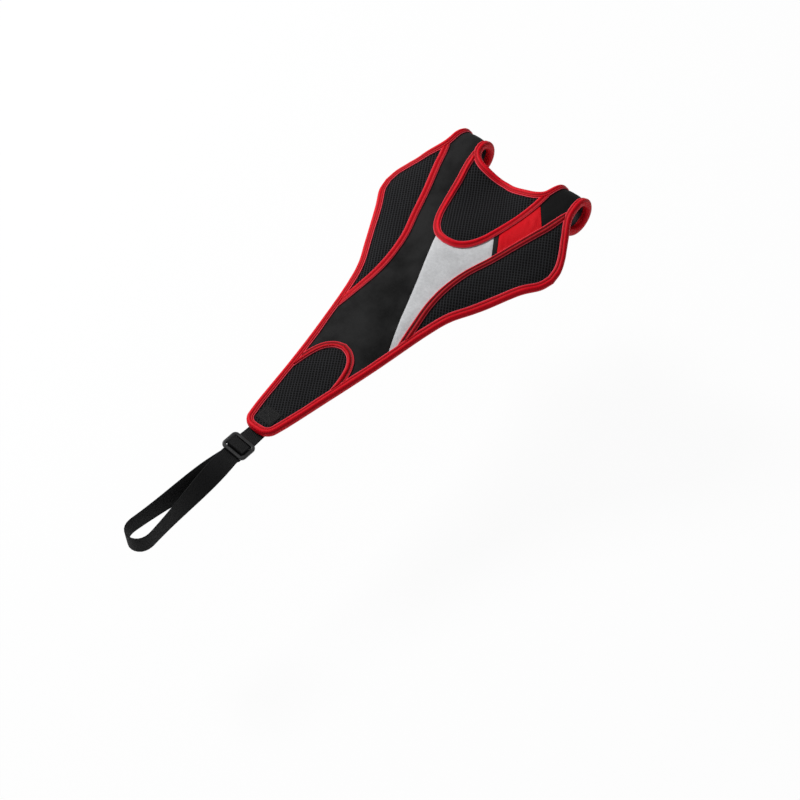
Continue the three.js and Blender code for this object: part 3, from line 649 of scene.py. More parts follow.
def mesh_group():
    """Spacer mesh: square rows of open holes, with raised ribs along v between the columns."""
    group, net, entry, leave = new_group(
        "spacer mesh",
        [("Pattern", "vector", None), ("Holes per metre", "value", 300.0)],
        [("Hole", "value"), ("Height", "value"), ("Rib", "value")],
    )
    columns, rows = pattern_angles(net, entry, "Holes per metre", 2 * math.pi)
    rib, bridge = (net.ranged(net.math("COSINE", angle), 0.05, 0.7) for angle in (columns, rows))
    seen_bridge, low_bridge = (net.math("MULTIPLY", bridge, share) for share in (0.92, 0.6))
    net.join(net.math("SUBTRACT", 1.0, net.math("MAXIMUM", rib, seen_bridge)), leave["Hole"])
    net.join(net.math("MAXIMUM", rib, low_bridge), leave["Height"])
    net.join(rib, leave["Rib"])
    return group


def weave_group():
    """Plain weave or knit: two sets of threads that pass over each other."""
    group, net, entry, leave = new_group(
        "thread weave",
        [("Pattern", "vector", None), ("Threads per metre", "value", 1600.0), ("Slant", "value", 0.0)],
        [("Height", "value"), ("Thread", "value")],
    )
    along, across = pattern_angles(net, entry, "Threads per metre", math.pi)
    slanted = net.math("MULTIPLY_ADD", across, entry["Slant"], along)
    product = net.math("MULTIPLY", net.math("SINE", slanted), net.math("SINE", across))
    net.join(net.ranged(product, -1, 1), leave["Height"])
    net.join(net.ranged(net.math("ABSOLUTE", product), 0.05, 0.6), leave["Thread"])
    return group


def mottle_group():
    """Uneven tone of cloth: broad soft patches and a fine fleck, from 0 to 1. On the black knit the patches
    also stand for painted shade of its creases.
    """
    group, net, entry, leave = new_group(
        "cloth mottle",
        [("Pattern", "vector", None), ("Patch scale", "value", 14.0), ("Fleck scale", "value", 420.0)],
        [("Patch", "value"), ("Fleck", "value")],
    )
    patch = net.noise(entry["Pattern"], entry["Patch scale"], detail=4.0, roughness=0.6)
    fleck = net.noise(entry["Pattern"], entry["Fleck scale"], detail=2.0, roughness=0.7)
    net.join(net.ranged(patch, 0.35, 0.68), leave["Patch"])
    net.join(net.ranged(fleck, 0.3, 0.75), leave["Fleck"])
    return group


def pile_group():
    """Short loops or hooks standing on a backing."""
    group, net, entry, leave = new_group(
        "loop pile",
        [("Pattern", "vector", None), ("Loops per metre", "value", 900.0)],
        [("Height", "value")],
    )
    cells = net.add("ShaderNodeTexVoronoi", 0, Vector=entry["Pattern"], Scale=entry["Loops per metre"],
                    Randomness=0.8)
    net.join(net.ranged(cells, 0.05, 0.75, 1.0, 0.0), leave["Height"])
    return group


def placed_group(net, group, **inputs):
    """Puts a shared group into a material and returns its outputs by name."""
    node = net.tree.nodes.new("ShaderNodeGroup")
    node.node_tree = group
    node.location = (-1100, -net.column * 30)
    for key, value in inputs.items():
        net.join(value, node.inputs[key.replace("_", " ")])
    return node.outputs


def new_material(name, **constants):
    """A material with a Principled shader whose constant sockets are set directly."""
    material = bpy.data.materials.new(name)
    material.use_nodes = True
    tree = material.node_tree
    tree.nodes.clear()
    shader = tree.nodes.new("ShaderNodeBsdfPrincipled")
    out = tree.nodes.new("ShaderNodeOutputMaterial")
    shader.location, out.location = (700, 0), (1000, 0)
    tree.links.new(shader.outputs[0], out.inputs[0])
    for key, value in constants.items():
        shader.inputs[key.replace("_", " ")].default_value = value
    return material, Net(tree), shader.inputs


# Rows of the fabrics per metre, and how far they are turned on the flat pattern
MESH_HOLES = 290.0
KNIT_THREADS, TAPE_THREADS, WEB_THREADS, SEWING_TWISTS = 1500.0, 1400.0, 900.0, 2600.0
LINING_LOOPS, HOOK_LOOPS = 650.0, 1300.0
MESH_TURN, KNIT_TURN = math.radians(-33.5), math.radians(8)


def pattern_place(net, turn=0.0):
    """The piece's own flat pattern, in metres, turned by an angle."""
    place = net.add("ShaderNodeUVMap", settings={"uv_map": "pattern"})
    return net.add("ShaderNodeMapping", Vector=place, Rotation=(0, 0, turn))


def bump(net, height, distance, strength, under=None):
    inputs = {"Height": height, "Distance": distance, "Strength": strength}
    if under is not None:
        inputs["Normal"] = under
    return net.add("ShaderNodeBump", **inputs)


def shade(colour, factor):
    return tuple(c * factor for c in colour[:3]) + (1.0,)


def mesh_material(groups, colour):
    """Air mesh: dark holes between ribs and bridges, worn paler in patches."""
    material, net, sockets = new_material(
        "spacer mesh", Roughness=0.8, Specular_IOR_Level=0.08, IOR=1.45)
    turned = pattern_place(net, MESH_TURN)
    holes = placed_group(net, groups["mesh"], Pattern=turned, Holes_per_metre=MESH_HOLES)
    mottle = placed_group(net, groups["mottle"], Pattern=turned, Patch_scale=24.0)
    bridge, rib, worn, open_hole = (shade(colour, tone) for tone in (1.35, 1.9, 2.4, 0.0))
    threads = net.mix(holes["Rib"], bridge, rib)
    patched = net.mix(net.math("MULTIPLY", mottle["Patch"], 0.3), threads, worn)
    net.join(net.mix(holes["Hole"], patched, open_hole), sockets["Base Color"])
    fine = bump(net, mottle["Fleck"], distance=0.00012, strength=0.6)
    net.join(bump(net, holes["Height"], distance=0.0011, strength=1.0, under=fine), sockets["Normal"])
    return material


def knit_material(groups, name, colour, patch=0.3, fleck=0.25, roughness=0.75, specular=0.15,
                  patch_tone=0.82, patch_scale=14.0, fleck_scale=420.0):
    """Smooth knit: fine slanted threads, with soft patches and flecks of a darker tone. On the black knit
    the dark patches are painted shade of its sagging creases.
    """
    material, net, sockets = new_material(name, Specular_IOR_Level=specular, IOR=1.45)
    place = pattern_place(net, KNIT_TURN)
    weave = placed_group(net, groups["weave"], Pattern=place, Threads_per_metre=KNIT_THREADS, Slant=0.35)
    mottle = placed_group(
        net, groups["mottle"], Pattern=place, Patch_scale=patch_scale, Fleck_scale=fleck_scale)
    plain, patched, flecked, gap = (shade(colour, tone) for tone in (1.0, patch_tone, 0.6, 0.45))
    # Soft patches of the darker patch tone: the cloth's uneven tone, and on the black knit painted crease
    # shade.
    soft = net.mix(net.math("MULTIPLY", mottle["Patch"], patch), plain, patched)
    uneven = net.mix(net.math("MULTIPLY", mottle["Fleck"], fleck), soft, flecked)
    between = net.ranged(weave["Thread"], 0, 1, 0.22, 0.0)
    net.join(net.mix(between, uneven, gap), sockets["Base Color"])
    rough = net.ranged(mottle["Patch"], 0, 1, roughness + 0.06, roughness - 0.08)
    net.join(rough, sockets["Roughness"])
    fine = bump(net, mottle["Fleck"], distance=0.0001, strength=0.5)
    net.join(bump(net, weave["Height"], distance=0.00018, strength=0.7, under=fine), sockets["Normal"])
    return material


def tape_material(groups, colour):
    """Satin tape: close slanted threads, with a painted highlight at its folded lips and painted shade
    where its grooves, hollows and slopes lie in shade.
    """
    material, net, sockets = new_material("red tape", Specular_IOR_Level=0.12, IOR=1.48)
    place = pattern_place(net)
    weave = placed_group(net, groups["weave"], Pattern=place, Threads_per_metre=TAPE_THREADS, Slant=1.0)
    mottle = placed_group(net, groups["mottle"], Pattern=place, Patch_scale=38.0, Fleck_scale=650.0)
    plain, patched, gap, shaded = (shade(colour, tone) for tone in (1.0, 0.78, 0.5, 0.04))
    # A paler pink along the tape's folded lips: a painted highlight.
    lip_highlight = (min(1.0, colour[0] * 1.3), colour[1] + 0.1, colour[2] + 0.13, 1.0)
    soft = net.mix(net.math("MULTIPLY", mottle["Patch"], 0.35), plain, patched)
    threaded = net.mix(net.ranged(weave["Thread"], 0, 1, 0.2, 0.0), soft, gap)
    # Where the painted lip highlight lies: within about 1.5 mm of either end of the section.
    from_edge = net.dot(place, (0, 1, 0))
    rise, fall = net.ranged(from_edge, 0.0, 0.0004), net.ranged(from_edge, 0.0012, 0.0018, 1.0, 0.0)
    lip = net.math("MULTIPLY", net.math("MULTIPLY", rise, fall), 0.8)
    # Painted shade: a share from 0 to 1 that the tape operators store on the tape's points, which mixes the
    # tape towards the near-black shaded red.
    painted_shade = net.add("ShaderNodeAttribute", 2, {"attribute_name": "painted_shade"})
    net.join(net.mix(painted_shade, net.mix(lip, threaded, lip_highlight), shaded), sockets["Base Color"])
    net.join(net.ranged(mottle["Fleck"], 0, 1, 0.45, 0.62), sockets["Roughness"])
    fine = bump(net, mottle["Fleck"], distance=0.00008, strength=0.4)
    net.join(bump(net, weave["Height"], distance=0.00012, strength=0.6, under=fine), sockets["Normal"])
    return material


def pile_material(groups, name, colour, loops):
    """Brushed or looped pile, darker between its loops."""
    material, net, sockets = new_material(name, Roughness=0.95, Specular_IOR_Level=0.1)
    place = pattern_place(net)
    pile = placed_group(net, groups["pile"], Pattern=place, Loops_per_metre=loops)
    mottle = placed_group(net, groups["mottle"], Pattern=place, Patch_scale=30.0)
    gap, tip, brushed = (shade(colour, tone) for tone in (0.35, 1.2, 1.7))
    patches = net.math("MULTIPLY", mottle["Patch"], 0.4)
    net.join(net.mix(patches, net.mix(pile["Height"], gap, tip), brushed), sockets["Base Color"])
    net.join(bump(net, pile["Height"], distance=0.0006, strength=0.9), sockets["Normal"])
    return material


def webbing_material(groups, colour):
    """Flat webbing: strong ribs across, fine threads along."""
    material, net, sockets = new_material("woven webbing", Specular_IOR_Level=0.1, IOR=1.47)
    place = pattern_place(net)
    weave = placed_group(net, groups["weave"], Pattern=place, Threads_per_metre=WEB_THREADS, Slant=0.6)
    mottle = placed_group(net, groups["mottle"], Pattern=place, Patch_scale=30.0)
    plain, worn, gap = (shade(colour, tone) for tone in (1.0, 1.9, 0.3))
    patched = net.mix(net.math("MULTIPLY", mottle["Patch"], 0.4), plain, worn)
    between = net.ranged(weave["Thread"], 0, 1, 0.5, 0.0)
    net.join(net.mix(between, patched, gap), sockets["Base Color"])
    net.join(net.ranged(mottle["Fleck"], 0, 1, 0.55, 0.75), sockets["Roughness"])
    net.join(bump(net, weave["Height"], distance=0.0003, strength=0.8), sockets["Normal"])
    return material


def plastic_material(groups, colour):
    """Satin moulded plastic with a fine spark grain and paler rubbed spots."""
    material, net, sockets = new_material("moulded plastic", Specular_IOR_Level=0.3, IOR=1.5)
    place = net.add("ShaderNodeTexCoord", 3)
    mottle = placed_group(net, groups["mottle"], Pattern=place, Patch_scale=120.0, Fleck_scale=2600.0)
    plain, rubbed = shade(colour, 1.0), shade(colour, 1.8)
    net.join(net.mix(net.math("MULTIPLY", mottle["Patch"], 0.3), plain, rubbed), sockets["Base Color"])
    net.join(net.ranged(mottle["Patch"], 0, 1, 0.3, 0.46), sockets["Roughness"])
    net.join(bump(net, mottle["Fleck"], distance=0.00005, strength=0.5), sockets["Normal"])
    return material


def thread_material(groups, name, colour):
    """Sewing thread: a tight twist."""
    material, net, sockets = new_material(name, Roughness=0.55, Specular_IOR_Level=0.25)
    place = pattern_place(net)
    weave = placed_group(net, groups["weave"], Pattern=place, Threads_per_metre=SEWING_TWISTS, Slant=1.0)
    between, twist = shade(colour, 0.6), shade(colour, 1.1)
    net.join(net.mix(weave["Height"], between, twist), sockets["Base Color"])
    net.join(bump(net, weave["Height"], distance=0.00008, strength=0.6), sockets["Normal"])
    return material


def material_of(name):
    """A finish made by the finishes operator."""
    return bpy.data.materials[name]


# Sizes and colours that a user may change


def colour_of(name, what, default):
    return bpy.props.FloatVectorProperty(
        name=name, description=f"Colour of {what}", subtype="COLOR", size=3, default=default, min=0, max=1)


def length_of(name, description, default, low, high):
    return bpy.props.FloatProperty(
        name=name, description=description, default=default, min=low, max=high, unit="LENGTH")


def angle_of(name, description, degrees):
    return bpy.props.FloatProperty(
        name=name, description=description, default=math.radians(degrees), subtype="ANGLE")


class GuardFinish(bpy.types.PropertyGroup):
    red: colour_of("Red", "the tapes", (0.72, 0.001, 0.012))
    label_red: colour_of("Label red", "the red field on the band", (0.68, 0.003, 0.01))
    cloth_black: colour_of("Cloth black", "the smooth cloth", (0.0122, 0.0122, 0.0122))
    mesh_black: colour_of("Mesh black", "the air mesh", (0.0115, 0.0115, 0.0125))
    pale: colour_of("Pale cloth", "the pale field", (0.72, 0.725, 0.735))
    lining_grey: colour_of("Lining", "the absorbent lining", (0.05, 0.05, 0.055))
    webbing_black: colour_of("Webbing", "the webbing and its patch", (0.0052, 0.0052, 0.0055))
    plastic_black: colour_of("Plastic", "the slider", (0.004, 0.004, 0.0043))


class GuardSizes(bpy.types.PropertyGroup):
    puff: length_of("Puff", "How far the padded cloth swells between the tapes", 0.0009, 0, 0.003)
    wave: length_of("Waves", "Height of the soft unevenness of the stretched cloth", 0.0004, 0, 0.002)
    pucker: length_of("Pucker", "Depth of the small puckers along the sewn edges", 0.00025, 0, 0.001)
    fold: length_of("Folds", "Height of the slanted folds of the red field", 0.0005, 0, 0.001)
    ridge: length_of("Ridge", "Height of the soft ridges of the tapes", 0.0026, 0.001, 0.004)
    groove: length_of("Groove", "Height of a seam tape in its sewn hollow", 0.0006, 0.0003, 0.0015)
    stitch_length: length_of("Stitch length", "Length of one stitch", 0.0024, 0.001, 0.006)
    stitch_pitch: length_of("Stitch pitch", "Distance from one stitch to the next", 0.0032, 0.0015, 0.008)
    thread: length_of("Thread", "Thickness of the sewing thread", 0.00042, 0.0002, 0.001)


class GuardStage(bpy.types.PropertyGroup):
    floor_drop: length_of("Floor drop", "Distance of the floor below the guard's lowest point", 0.16, 0, 2)
    azimuth: angle_of("Azimuth", "Direction that the camera looks in, from forwards to the left", 45.435)
    elevation: angle_of("Elevation", "Angle of the camera above the horizon", 47.921)
    roll: angle_of("Roll", "Turn of the camera about its own axis", 3.345)
    lens: bpy.props.FloatProperty(
        name="Lens", description="Focal length in millimetres on a sensor 36 mm wide",
        default=113.77, min=10, max=500)


# Operators, one for each kind of piece, with what they share and the sizes that they use


class GUARD_OT_finishes(bpy.types.Operator):
    """Makes the finishes: mesh, knits, satin tape, pile, webbing, plastic and thread"""
    bl_idname = "guard.finishes"
    bl_label = "Finishes"

    def execute(self, context):
        tone = context.scene.guard_finish
        groups = {
            "mesh": mesh_group(), "weave": weave_group(), "mottle": mottle_group(), "pile": pile_group(),
        }
        mesh_material(groups, tone.mesh_black)
        # The black knit's broad patches, darkened to 0.12 of its tone, are painted shade of the cloth's
        # sagging creases.
        knit_material(groups, "black knit", shade(tone.cloth_black, 2.0), patch=1.0, fleck=0.3,
                      specular=0.05, patch_tone=0.12, patch_scale=18.0)
        knit_material(groups, "pale knit", tone.pale, patch=0.7, fleck=0.35, roughness=0.8,
                      patch_scale=60.0, fleck_scale=300.0)
        knit_material(groups, "red knit", tone.label_red, fleck=0.2, roughness=0.65, specular=0.1)
        tape_material(groups, tone.red)
        knit_material(groups, "arm knit", shade(tone.cloth_black, 0.6), patch=0.6, fleck=0.3,
                      specular=0.05, patch_tone=0.6, patch_scale=18.0)
        pile_material(groups, "absorbent lining", tone.lining_grey, LINING_LOOPS)
        pile_material(groups, "hook and loop", tone.webbing_black, HOOK_LOOPS)
        webbing_material(groups, tone.webbing_black)
        plastic_material(groups, tone.plastic_black)
        thread_material(groups, "red thread", shade(tone.red, 0.5))
        thread_material(groups, "black thread", shade(tone.cloth_black, 2.8))
        return {"FINISHED"}


# Sizes of the waves, puckers, folds and cut edges of the cloth, in millimetres. A pair is the distance
# from a tape's or panel's edge at which something begins and the one at which it is full.
PUFF_RISE = (-0.5, 9.0)
WAVE_SPAN, WAVE_RISE = 46.0, (2.0, 22.0)
PUCKER_SPAN, PUCKER_REACH, PUCKER_RISE = 7.0, 4.0, (-2.0, 1.0)
FOLD_WAY = (0.927, 0.376)
FOLD_SPAN, SMALL_FOLD_SPAN, FOLD_RISE = 7.5, 4.1, (0.5, 4.0)
FOLD_WANDER, FOLD_WANDER_SPAN = 1.6, 30.0
CUT_DROP, CUT_RISE = 0.45, (0.0, 1.3)
LINING_WAVE, LINING_WAVE_SPAN, LINING_WAVE_RISE = 0.25, 38.0, (1.0, 15.0)
LINING_SAG, LINING_SAG_RISE, LINING_SAG_BEHIND = 0.35, (0.0, 8.0), (15.0, 40.0)


def puffed(sizes, seed):
    """Height of a panel's face: flat under the tapes, swelling between them, with soft waves."""
    def height(points):
        free = PATTERN.uncovered(points)
        u, v = points[:, 0], points[:, 1]
        puff = sizes.puff / MM * smooth_step(free, *PUFF_RISE)
        waves = ripple(u, v, WAVE_SPAN, seed) * sizes.wave / MM * smooth_step(free, *WAVE_RISE)
        pucker = (0.5 + 0.5 * ripple(u, v, PUCKER_SPAN, seed + 5)) * sizes.pucker / MM
        pucker *= np.exp(-np.maximum(free, 0) / PUCKER_REACH) * smooth_step(free, *PUCKER_RISE)
        return STACK_HEIGHT + puff + waves - pucker
    return height


def rolled(outline, height):
    """Rounds a face down at the panel's own cut edge."""
    def rounded(points):
        edge = distance_to(points, outline, True)
        return height(points) - CUT_DROP * (1 - smooth_step(edge, *CUT_RISE))
    return rounded


def folded(sizes, height):
    """Adds the small slanted folds of the red field, which is drawn tight between its seams."""
    def with_folds(points):
        u, v = points[:, 0], points[:, 1]
        cos, sin = FOLD_WAY
        across, along = cos * u + sin * v, cos * v - sin * u
        wander = FOLD_WANDER * ripple(u, v, FOLD_WANDER_SPAN, 91)
        crease = np.sin(2 * math.pi * (across + wander) / FOLD_SPAN) \
            + 0.5 * np.sin(2 * math.pi * (across - wander) / SMALL_FOLD_SPAN)
        strength = 0.5 + 0.5 * np.sin(along / 9.0 + across / 14.0)
        share = smooth_step(PATTERN.uncovered(points), *FOLD_RISE)
        return height(points) + sizes.fold / MM * crease * strength * share
    return with_folds


def pillowed(outline, thickness, edge_share, rise):
    """Thickness of a small flat pad: a share of it at the edge, all of it a little further in."""
    def height(points):
        full = smooth_step(distance_to(points, outline, True), *rise)
        return thickness * (edge_share + (1 - edge_share) * full)
    return height


class GUARD_OT_lining(bpy.types.Operator):
    """Makes the absorbent lining under the whole guard, with its two arms and flaps"""
    bl_idname = "guard.lining"
    bl_label = "Lining"

    def execute(self, context):
        def underside(points):
            u, v = points[:, 0], points[:, 1]
            free = distance_to(points, PATTERN.edge, True) - EDGE_BAND_WIDTH
            wave = LINING_WAVE * ripple(u, v, LINING_WAVE_SPAN, 41) * smooth_step(free, *LINING_WAVE_RISE)
            sag = smooth_step(free, *LINING_SAG_RISE) * smooth_step(-v, *LINING_SAG_BEHIND)
            return wave - LINING_SAG * sag

        body = layer_body(PATTERN.lining, underside, LINING_THICKNESS)
        piece = new_piece("absorbent_lining", *body, material_of("absorbent lining"), "lining", "lining")
        return {"FINISHED"}


class GUARD_OT_mesh_panels(bpy.types.Operator):
    """Makes the air mesh of the two wings, the neck and the tail"""
    bl_idname = "guard.mesh_panels"
    bl_label = "Mesh panels"

    def execute(self, context):
        for seed, (node, outline) in enumerate(PATTERN.mesh_panels.items()):
            face = rolled(outline, puffed(context.scene.guard_sizes, 10 * seed))
            body = layer_body(outline, SHELL_BOTTOM, face)
            piece = new_piece(f"{node}_cloth", *body, material_of("spacer mesh"), node, "mesh")
        return {"FINISHED"}


class GUARD_OT_cloth_panels(bpy.types.Operator):
    """Makes the smooth cloth fields: black, pale, the strip, the red field and the arm"""
    bl_idname = "guard.cloth_panels"
    bl_label = "Cloth panels"

    def execute(self, context):
        finishes = {
            "pale_panel": ("pale knit", "pale_cloth"),
            "label_patch": ("red knit", "red_cloth"),
            "right_arm_panel": ("arm knit", "black_cloth"),
        }
        pieces = {}
        for seed, (node, outline) in enumerate(PATTERN.cloth_panels.items()):
            finish, slot = finishes.get(node, ("black knit", "black_cloth"))
            face = puffed(context.scene.guard_sizes, 60 + 3 * seed)
            if node == "label_patch":
                face = folded(context.scene.guard_sizes, face)
            face = rolled(outline, face)
            step = FINE_STEP if node == "divider_strip" else CLOTH_STEP
            body = layer_body(outline, SHELL_BOTTOM, face, step)
            pieces[node] = new_piece(f"{node}_cloth", *body, material_of(finish), node, slot)
        strip = pieces.pop("divider_strip")
        return {"FINISHED"}


# Share of the ridge's height that is left in the binding's stitched groove, and where the groove is
GROOVE_SHARE = 0.6
GROOVE_MIDDLE = 3.2

# How much painted shade the binding has in its groove, beside its inner lip and on its outer wall,
# from 0 to 1, and where that is, from its inner edge
GROOVE_SHADE, GROOVE_FALL, GROOVE_RISE = 0.5, (2.0, 3.0), (3.6, 4.6)
LIP_SHADE, LIP_MIDDLE, LIP_REACH = 0.5, 1.2, 0.5
WALL_SHADE, WALL_FALL = 0.45, (7.8, 8.8)

# The same for the seam tapes, from their middle. The mesh is on the plus side.
HOLLOW_FALL, HOLLOW_RISE = (-3.0, -2.1), (-0.6, 0.4)
RIDGE_FALL, RIDGE_END = (0.0, 1.0), 3.4
SEAM_LIP_SHADE, SEAM_LIP_MIDDLE = 0.55, 3.5

# Slight unevenness of the tapes' tops: its height, its spans along the tapes and the lowest height
# that it changes. The binding's width has two waves too, each with its share, span and phase.
TAPE_WAVE = 0.06
EDGE_WAVE_SPAN, SEAM_WAVE_SPAN = 3.1, 2.9
TAPE_WAVE_FROM = BAND_BOTTOM + 0.9
WIDTH_WAVES = ((0.018, 17.0, 0.0), (0.015, 7.3, 1.0))

# For each seam tape: how deep its sewn hollow is, how much painted shade the hollow has, and how much
# painted shade its ridge has, from 0 to 1
TAPE_HOLLOWS = {
    "right_wing_tape": (1.0, 0.95, 0.6),
    "left_wing_tape": (0.3, 0.3, 0.1),
    "neck_tape": (0.45, 0.45, 0.0),
    "tail_tape": (0.9, 0.8, 0.2),
}
HOLLOW_MIDDLE = -1.3
UNPRESSED_SHARE = 0.7

# How far the seam tapes are tucked under the binding, and how far before it their stitches end
TAPE_TUCK = 0.4
STITCH_MARGIN = 0.8

# How far the stitches are drawn into the tapes, and how far those of the anchor patch stand proud
GROOVE_STITCH_SINK, HOLLOW_STITCH_SINK, ANCHOR_STITCH_LIFT = 0.15, 0.3, 0.05


def edge_ring(sizes):
    """Section of the folded binding: two soft ridges on top, a lip, and the same below."""
    ridge, width = sizes.ridge / MM, EDGE_BAND_WIDTH
    groove = ridge * GROOVE_SHARE
    top, bottom = BAND_BOTTOM, -TAPE_GAP
    upper = [
        (width, 0), (width - 0.12, 0.6), (width - 0.35, 0.95), (width - 0.7, 1.0),
        (width - 1.0, 0.9), (width - 1.4, ridge * 0.62), (width - 2.0, ridge * 0.74),
        (width - 2.6, ridge * 0.68), (width - 3.0, groove), (width - 3.4, groove),
        (width - 3.9, ridge * 0.72), (width - 4.5, ridge * 0.9), (width - 5.4, ridge),
        (width - 6.6, ridge * 0.9), (1.4, ridge * 0.62),
    ]
    crown = [(0.45, 0.5), (0.05, -1.0)]
    outer = [(x, top + h) for x, h in upper + crown]
    middle = [(-0.15, (top + bottom) / 2)]
    lower = [(x, bottom - h * 0.85) for x, h in (upper + crown)[::-1]]
    inside = [(TAPE_THICKNESS, bottom), (TAPE_THICKNESS, top)]
    return np.array(outer + middle + lower + inside)


def mesh_side(node, line):
    """The side of a seam that the mesh is on: 1 for its left, -1 for its right."""
    shifted = offset_line(line, SEAM_BAND_WIDTH / 3)
    outward = np.sign(np.sum(np.abs(shifted[:, 0]) - np.abs(line[:, 0])))
    return outward if "wing" in node else -outward


def hollow_height(sizes, depth):
    """Height of a seam tape in its hollow, from a share of the ridge's height down to the groove's."""
    return sizes.ridge / MM * UNPRESSED_SHARE * (1 - depth) + sizes.groove / MM * depth


def seam_ring(sizes, depth):
    """Section of the seam tape: a lip and a sewn hollow beside the cloth, a soft ridge by the mesh."""
    ridge, half = sizes.ridge / MM, SEAM_BAND_WIDTH / 2
    low = hollow_height(sizes, depth)
    lip = [(half, 0.0), (half - 0.1, 0.5), (half - 0.3, 0.95), (half - 0.6, 1.05)]
    cloth_side = [(-x, h) for x, h in lip]
    shoulder = [(-3.6, 1.1 + 0.3 * (1 - depth)), (-3.1, 1.3 + 0.5 * (1 - depth)),
                (-2.5, 0.5 * (low + 1.5))]
    hollow = [(-1.9, low), (HOLLOW_MIDDLE, low * 0.92), (-0.7, low), (-0.1, 0.5 * (low + ridge * 0.8))]
    swell = [(0.5, ridge * 0.86), (1.2, ridge * 0.97), (2.0, ridge), (2.7, ridge * 0.9),
             (3.3, ridge * 0.68), (3.65, 1.05)]
    section = cloth_side + shoulder + hollow + swell + lip[::-1]
    return np.array([(x, BAND_BOTTOM + h) for x, h in section])


def peak(value, place):
    """1 at the place of a lip, down to 0 on either side."""
    return np.maximum(0, 1 - np.abs(value - place) / LIP_REACH)


def from_lip(ring):
    """Distance of each section point from the nearer end of the section, along the section."""
    lengths = lengths_along(ring)
    return np.minimum(lengths, lengths[-1] - lengths)


def make_tape(node, place, ring, shade_shares, along, wave_span, closed):
    """Sweeps a tape's section along the cloth, and marks on its points how much painted shade it has."""
    lift = TAPE_WAVE * np.sin(along / wave_span)[:, None] * (ring[None, :, 1] > TAPE_WAVE_FROM)
    grid = cloth_point(place[..., 0], place[..., 1], ring[None, :, 1] + lift)
    uvs = np.stack(np.broadcast_arrays(along[:, None], from_lip(ring)[None]), axis=-1)
    name = "edge_binding_tape" if closed else f"{node}_strip"
    body = swept_body(grid, uvs, closed)
    piece = new_piece(name, *body, material_of("red tape"), node, "red_tape", smooth_angle=60)
    # The share of painted shade on each point, which the red tape material mixes towards its shaded red.
    layer = piece.data.attributes.new("painted_shade", "FLOAT", "POINT")
    layer.data.foreach_set("value", np.tile(shade_shares, len(along)))


class GUARD_OT_edge_binding(bpy.types.Operator):
    """Makes the red binding folded round the whole edge"""
    bl_idname = "guard.edge_binding"
    bl_label = "Edge binding"

    def execute(self, context):
        ring = edge_ring(context.scene.guard_sizes)
        line = PATTERN.edge
        along = lengths_along(line)
        uneven = 1 + sum(share * np.sin(along / span + phase) for share, span, phase in WIDTH_WAVES)
        across = ring[None, :, 0] * np.where(ring[None, :, 0] > 2, uneven[:, None], 1)
        place = line[:, None, :] + left_of(line, True)[:, None, :] * across[..., None]
        inner = EDGE_BAND_WIDTH - ring[:, 0]
        groove = smooth_step(inner, *GROOVE_FALL) * (1 - smooth_step(inner, *GROOVE_RISE))
        # Painted shade in the groove, beside the inner lip and on the outer wall, on the binding's upper
        # face only.
        shade_shares = np.maximum.reduce([
            GROOVE_SHADE * groove, LIP_SHADE * peak(inner, LIP_MIDDLE),
            WALL_SHADE * smooth_step(inner, *WALL_FALL)])
        shade_shares *= ring[:, 1] > BAND_BOTTOM
        make_tape("edge_binding", place, ring, shade_shares, along, EDGE_WAVE_SPAN, True)
        return {"FINISHED"}


class GUARD_OT_seam_tapes(bpy.types.Operator):
    """Makes the padded red tapes over the wing, neck and tail seams, cut to the binding"""
    bl_idname = "guard.seam_tapes"
    bl_label = "Seam tapes"

    def execute(self, context):
        limit = closed_line(offset_line(PATTERN.edge, EDGE_BAND_WIDTH - TAPE_TUCK, True))
        for node, line in PATTERN.seams.items():
            depth, hollow_shade, ridge_shade = TAPE_HOLLOWS[node]
            ring = seam_ring(context.scene.guard_sizes, depth)
            x = ring[:, 0]
            hollow = smooth_step(x, *HOLLOW_FALL) * (1 - smooth_step(x, *HOLLOW_RISE))
            ridge = smooth_step(x, *RIDGE_FALL) * (x < RIDGE_END)
            # Painted shade in the sewn hollow, on the ridge and beside both lips.
            shade_shares = np.maximum.reduce([
                hollow_shade * hollow, ridge_shade * ridge, SEAM_LIP_SHADE * peak(np.abs(x), SEAM_LIP_MIDDLE)])
            ring[:, 0] *= mesh_side(node, line)
            if ring[0, 0] > 0:
                ring, shade_shares = ring[::-1], shade_shares[::-1]
            columns = [trimmed(offset_line(line, across), limit) for across in ring[:, 0]]
            count = max(len(c) for c in columns)
            place = np.stack([respaced(c, count=count) for c in columns], axis=1)
            along = lengths_along(place[:, len(ring) // 2])
            make_tape(node, place, ring, shade_shares, along, SEAM_WAVE_SPAN, False)
        return {"FINISHED"}


def trimmed(line, limit):
    """The stretch of a line between its first and its last crossing of the limit."""
    middle = len(line) // 2
    start = meeting(line[:middle + 1][::-1], limit)
    end = meeting(line[middle:], limit)
    first, last = middle - start[0], middle + end[0]
    places = np.arange(len(line))
    inside = line[(places > first) & (places < last)]
    return join_lines(start[2][None], inside, end[2][None])


# One stitch: places along it in stitch lengths, and its thickness and height there in thread radii
STITCH_PLACES = np.array([-0.5, -0.36, 0.0, 0.36, 0.5])
STITCH_WIDTHS = (0.25, 0.95, 1.05, 0.95, 0.25)
STITCH_ARCH = np.array([-0.9, 0.1, 0.45, 0.1, -0.9])
STITCH_SIDES = 6


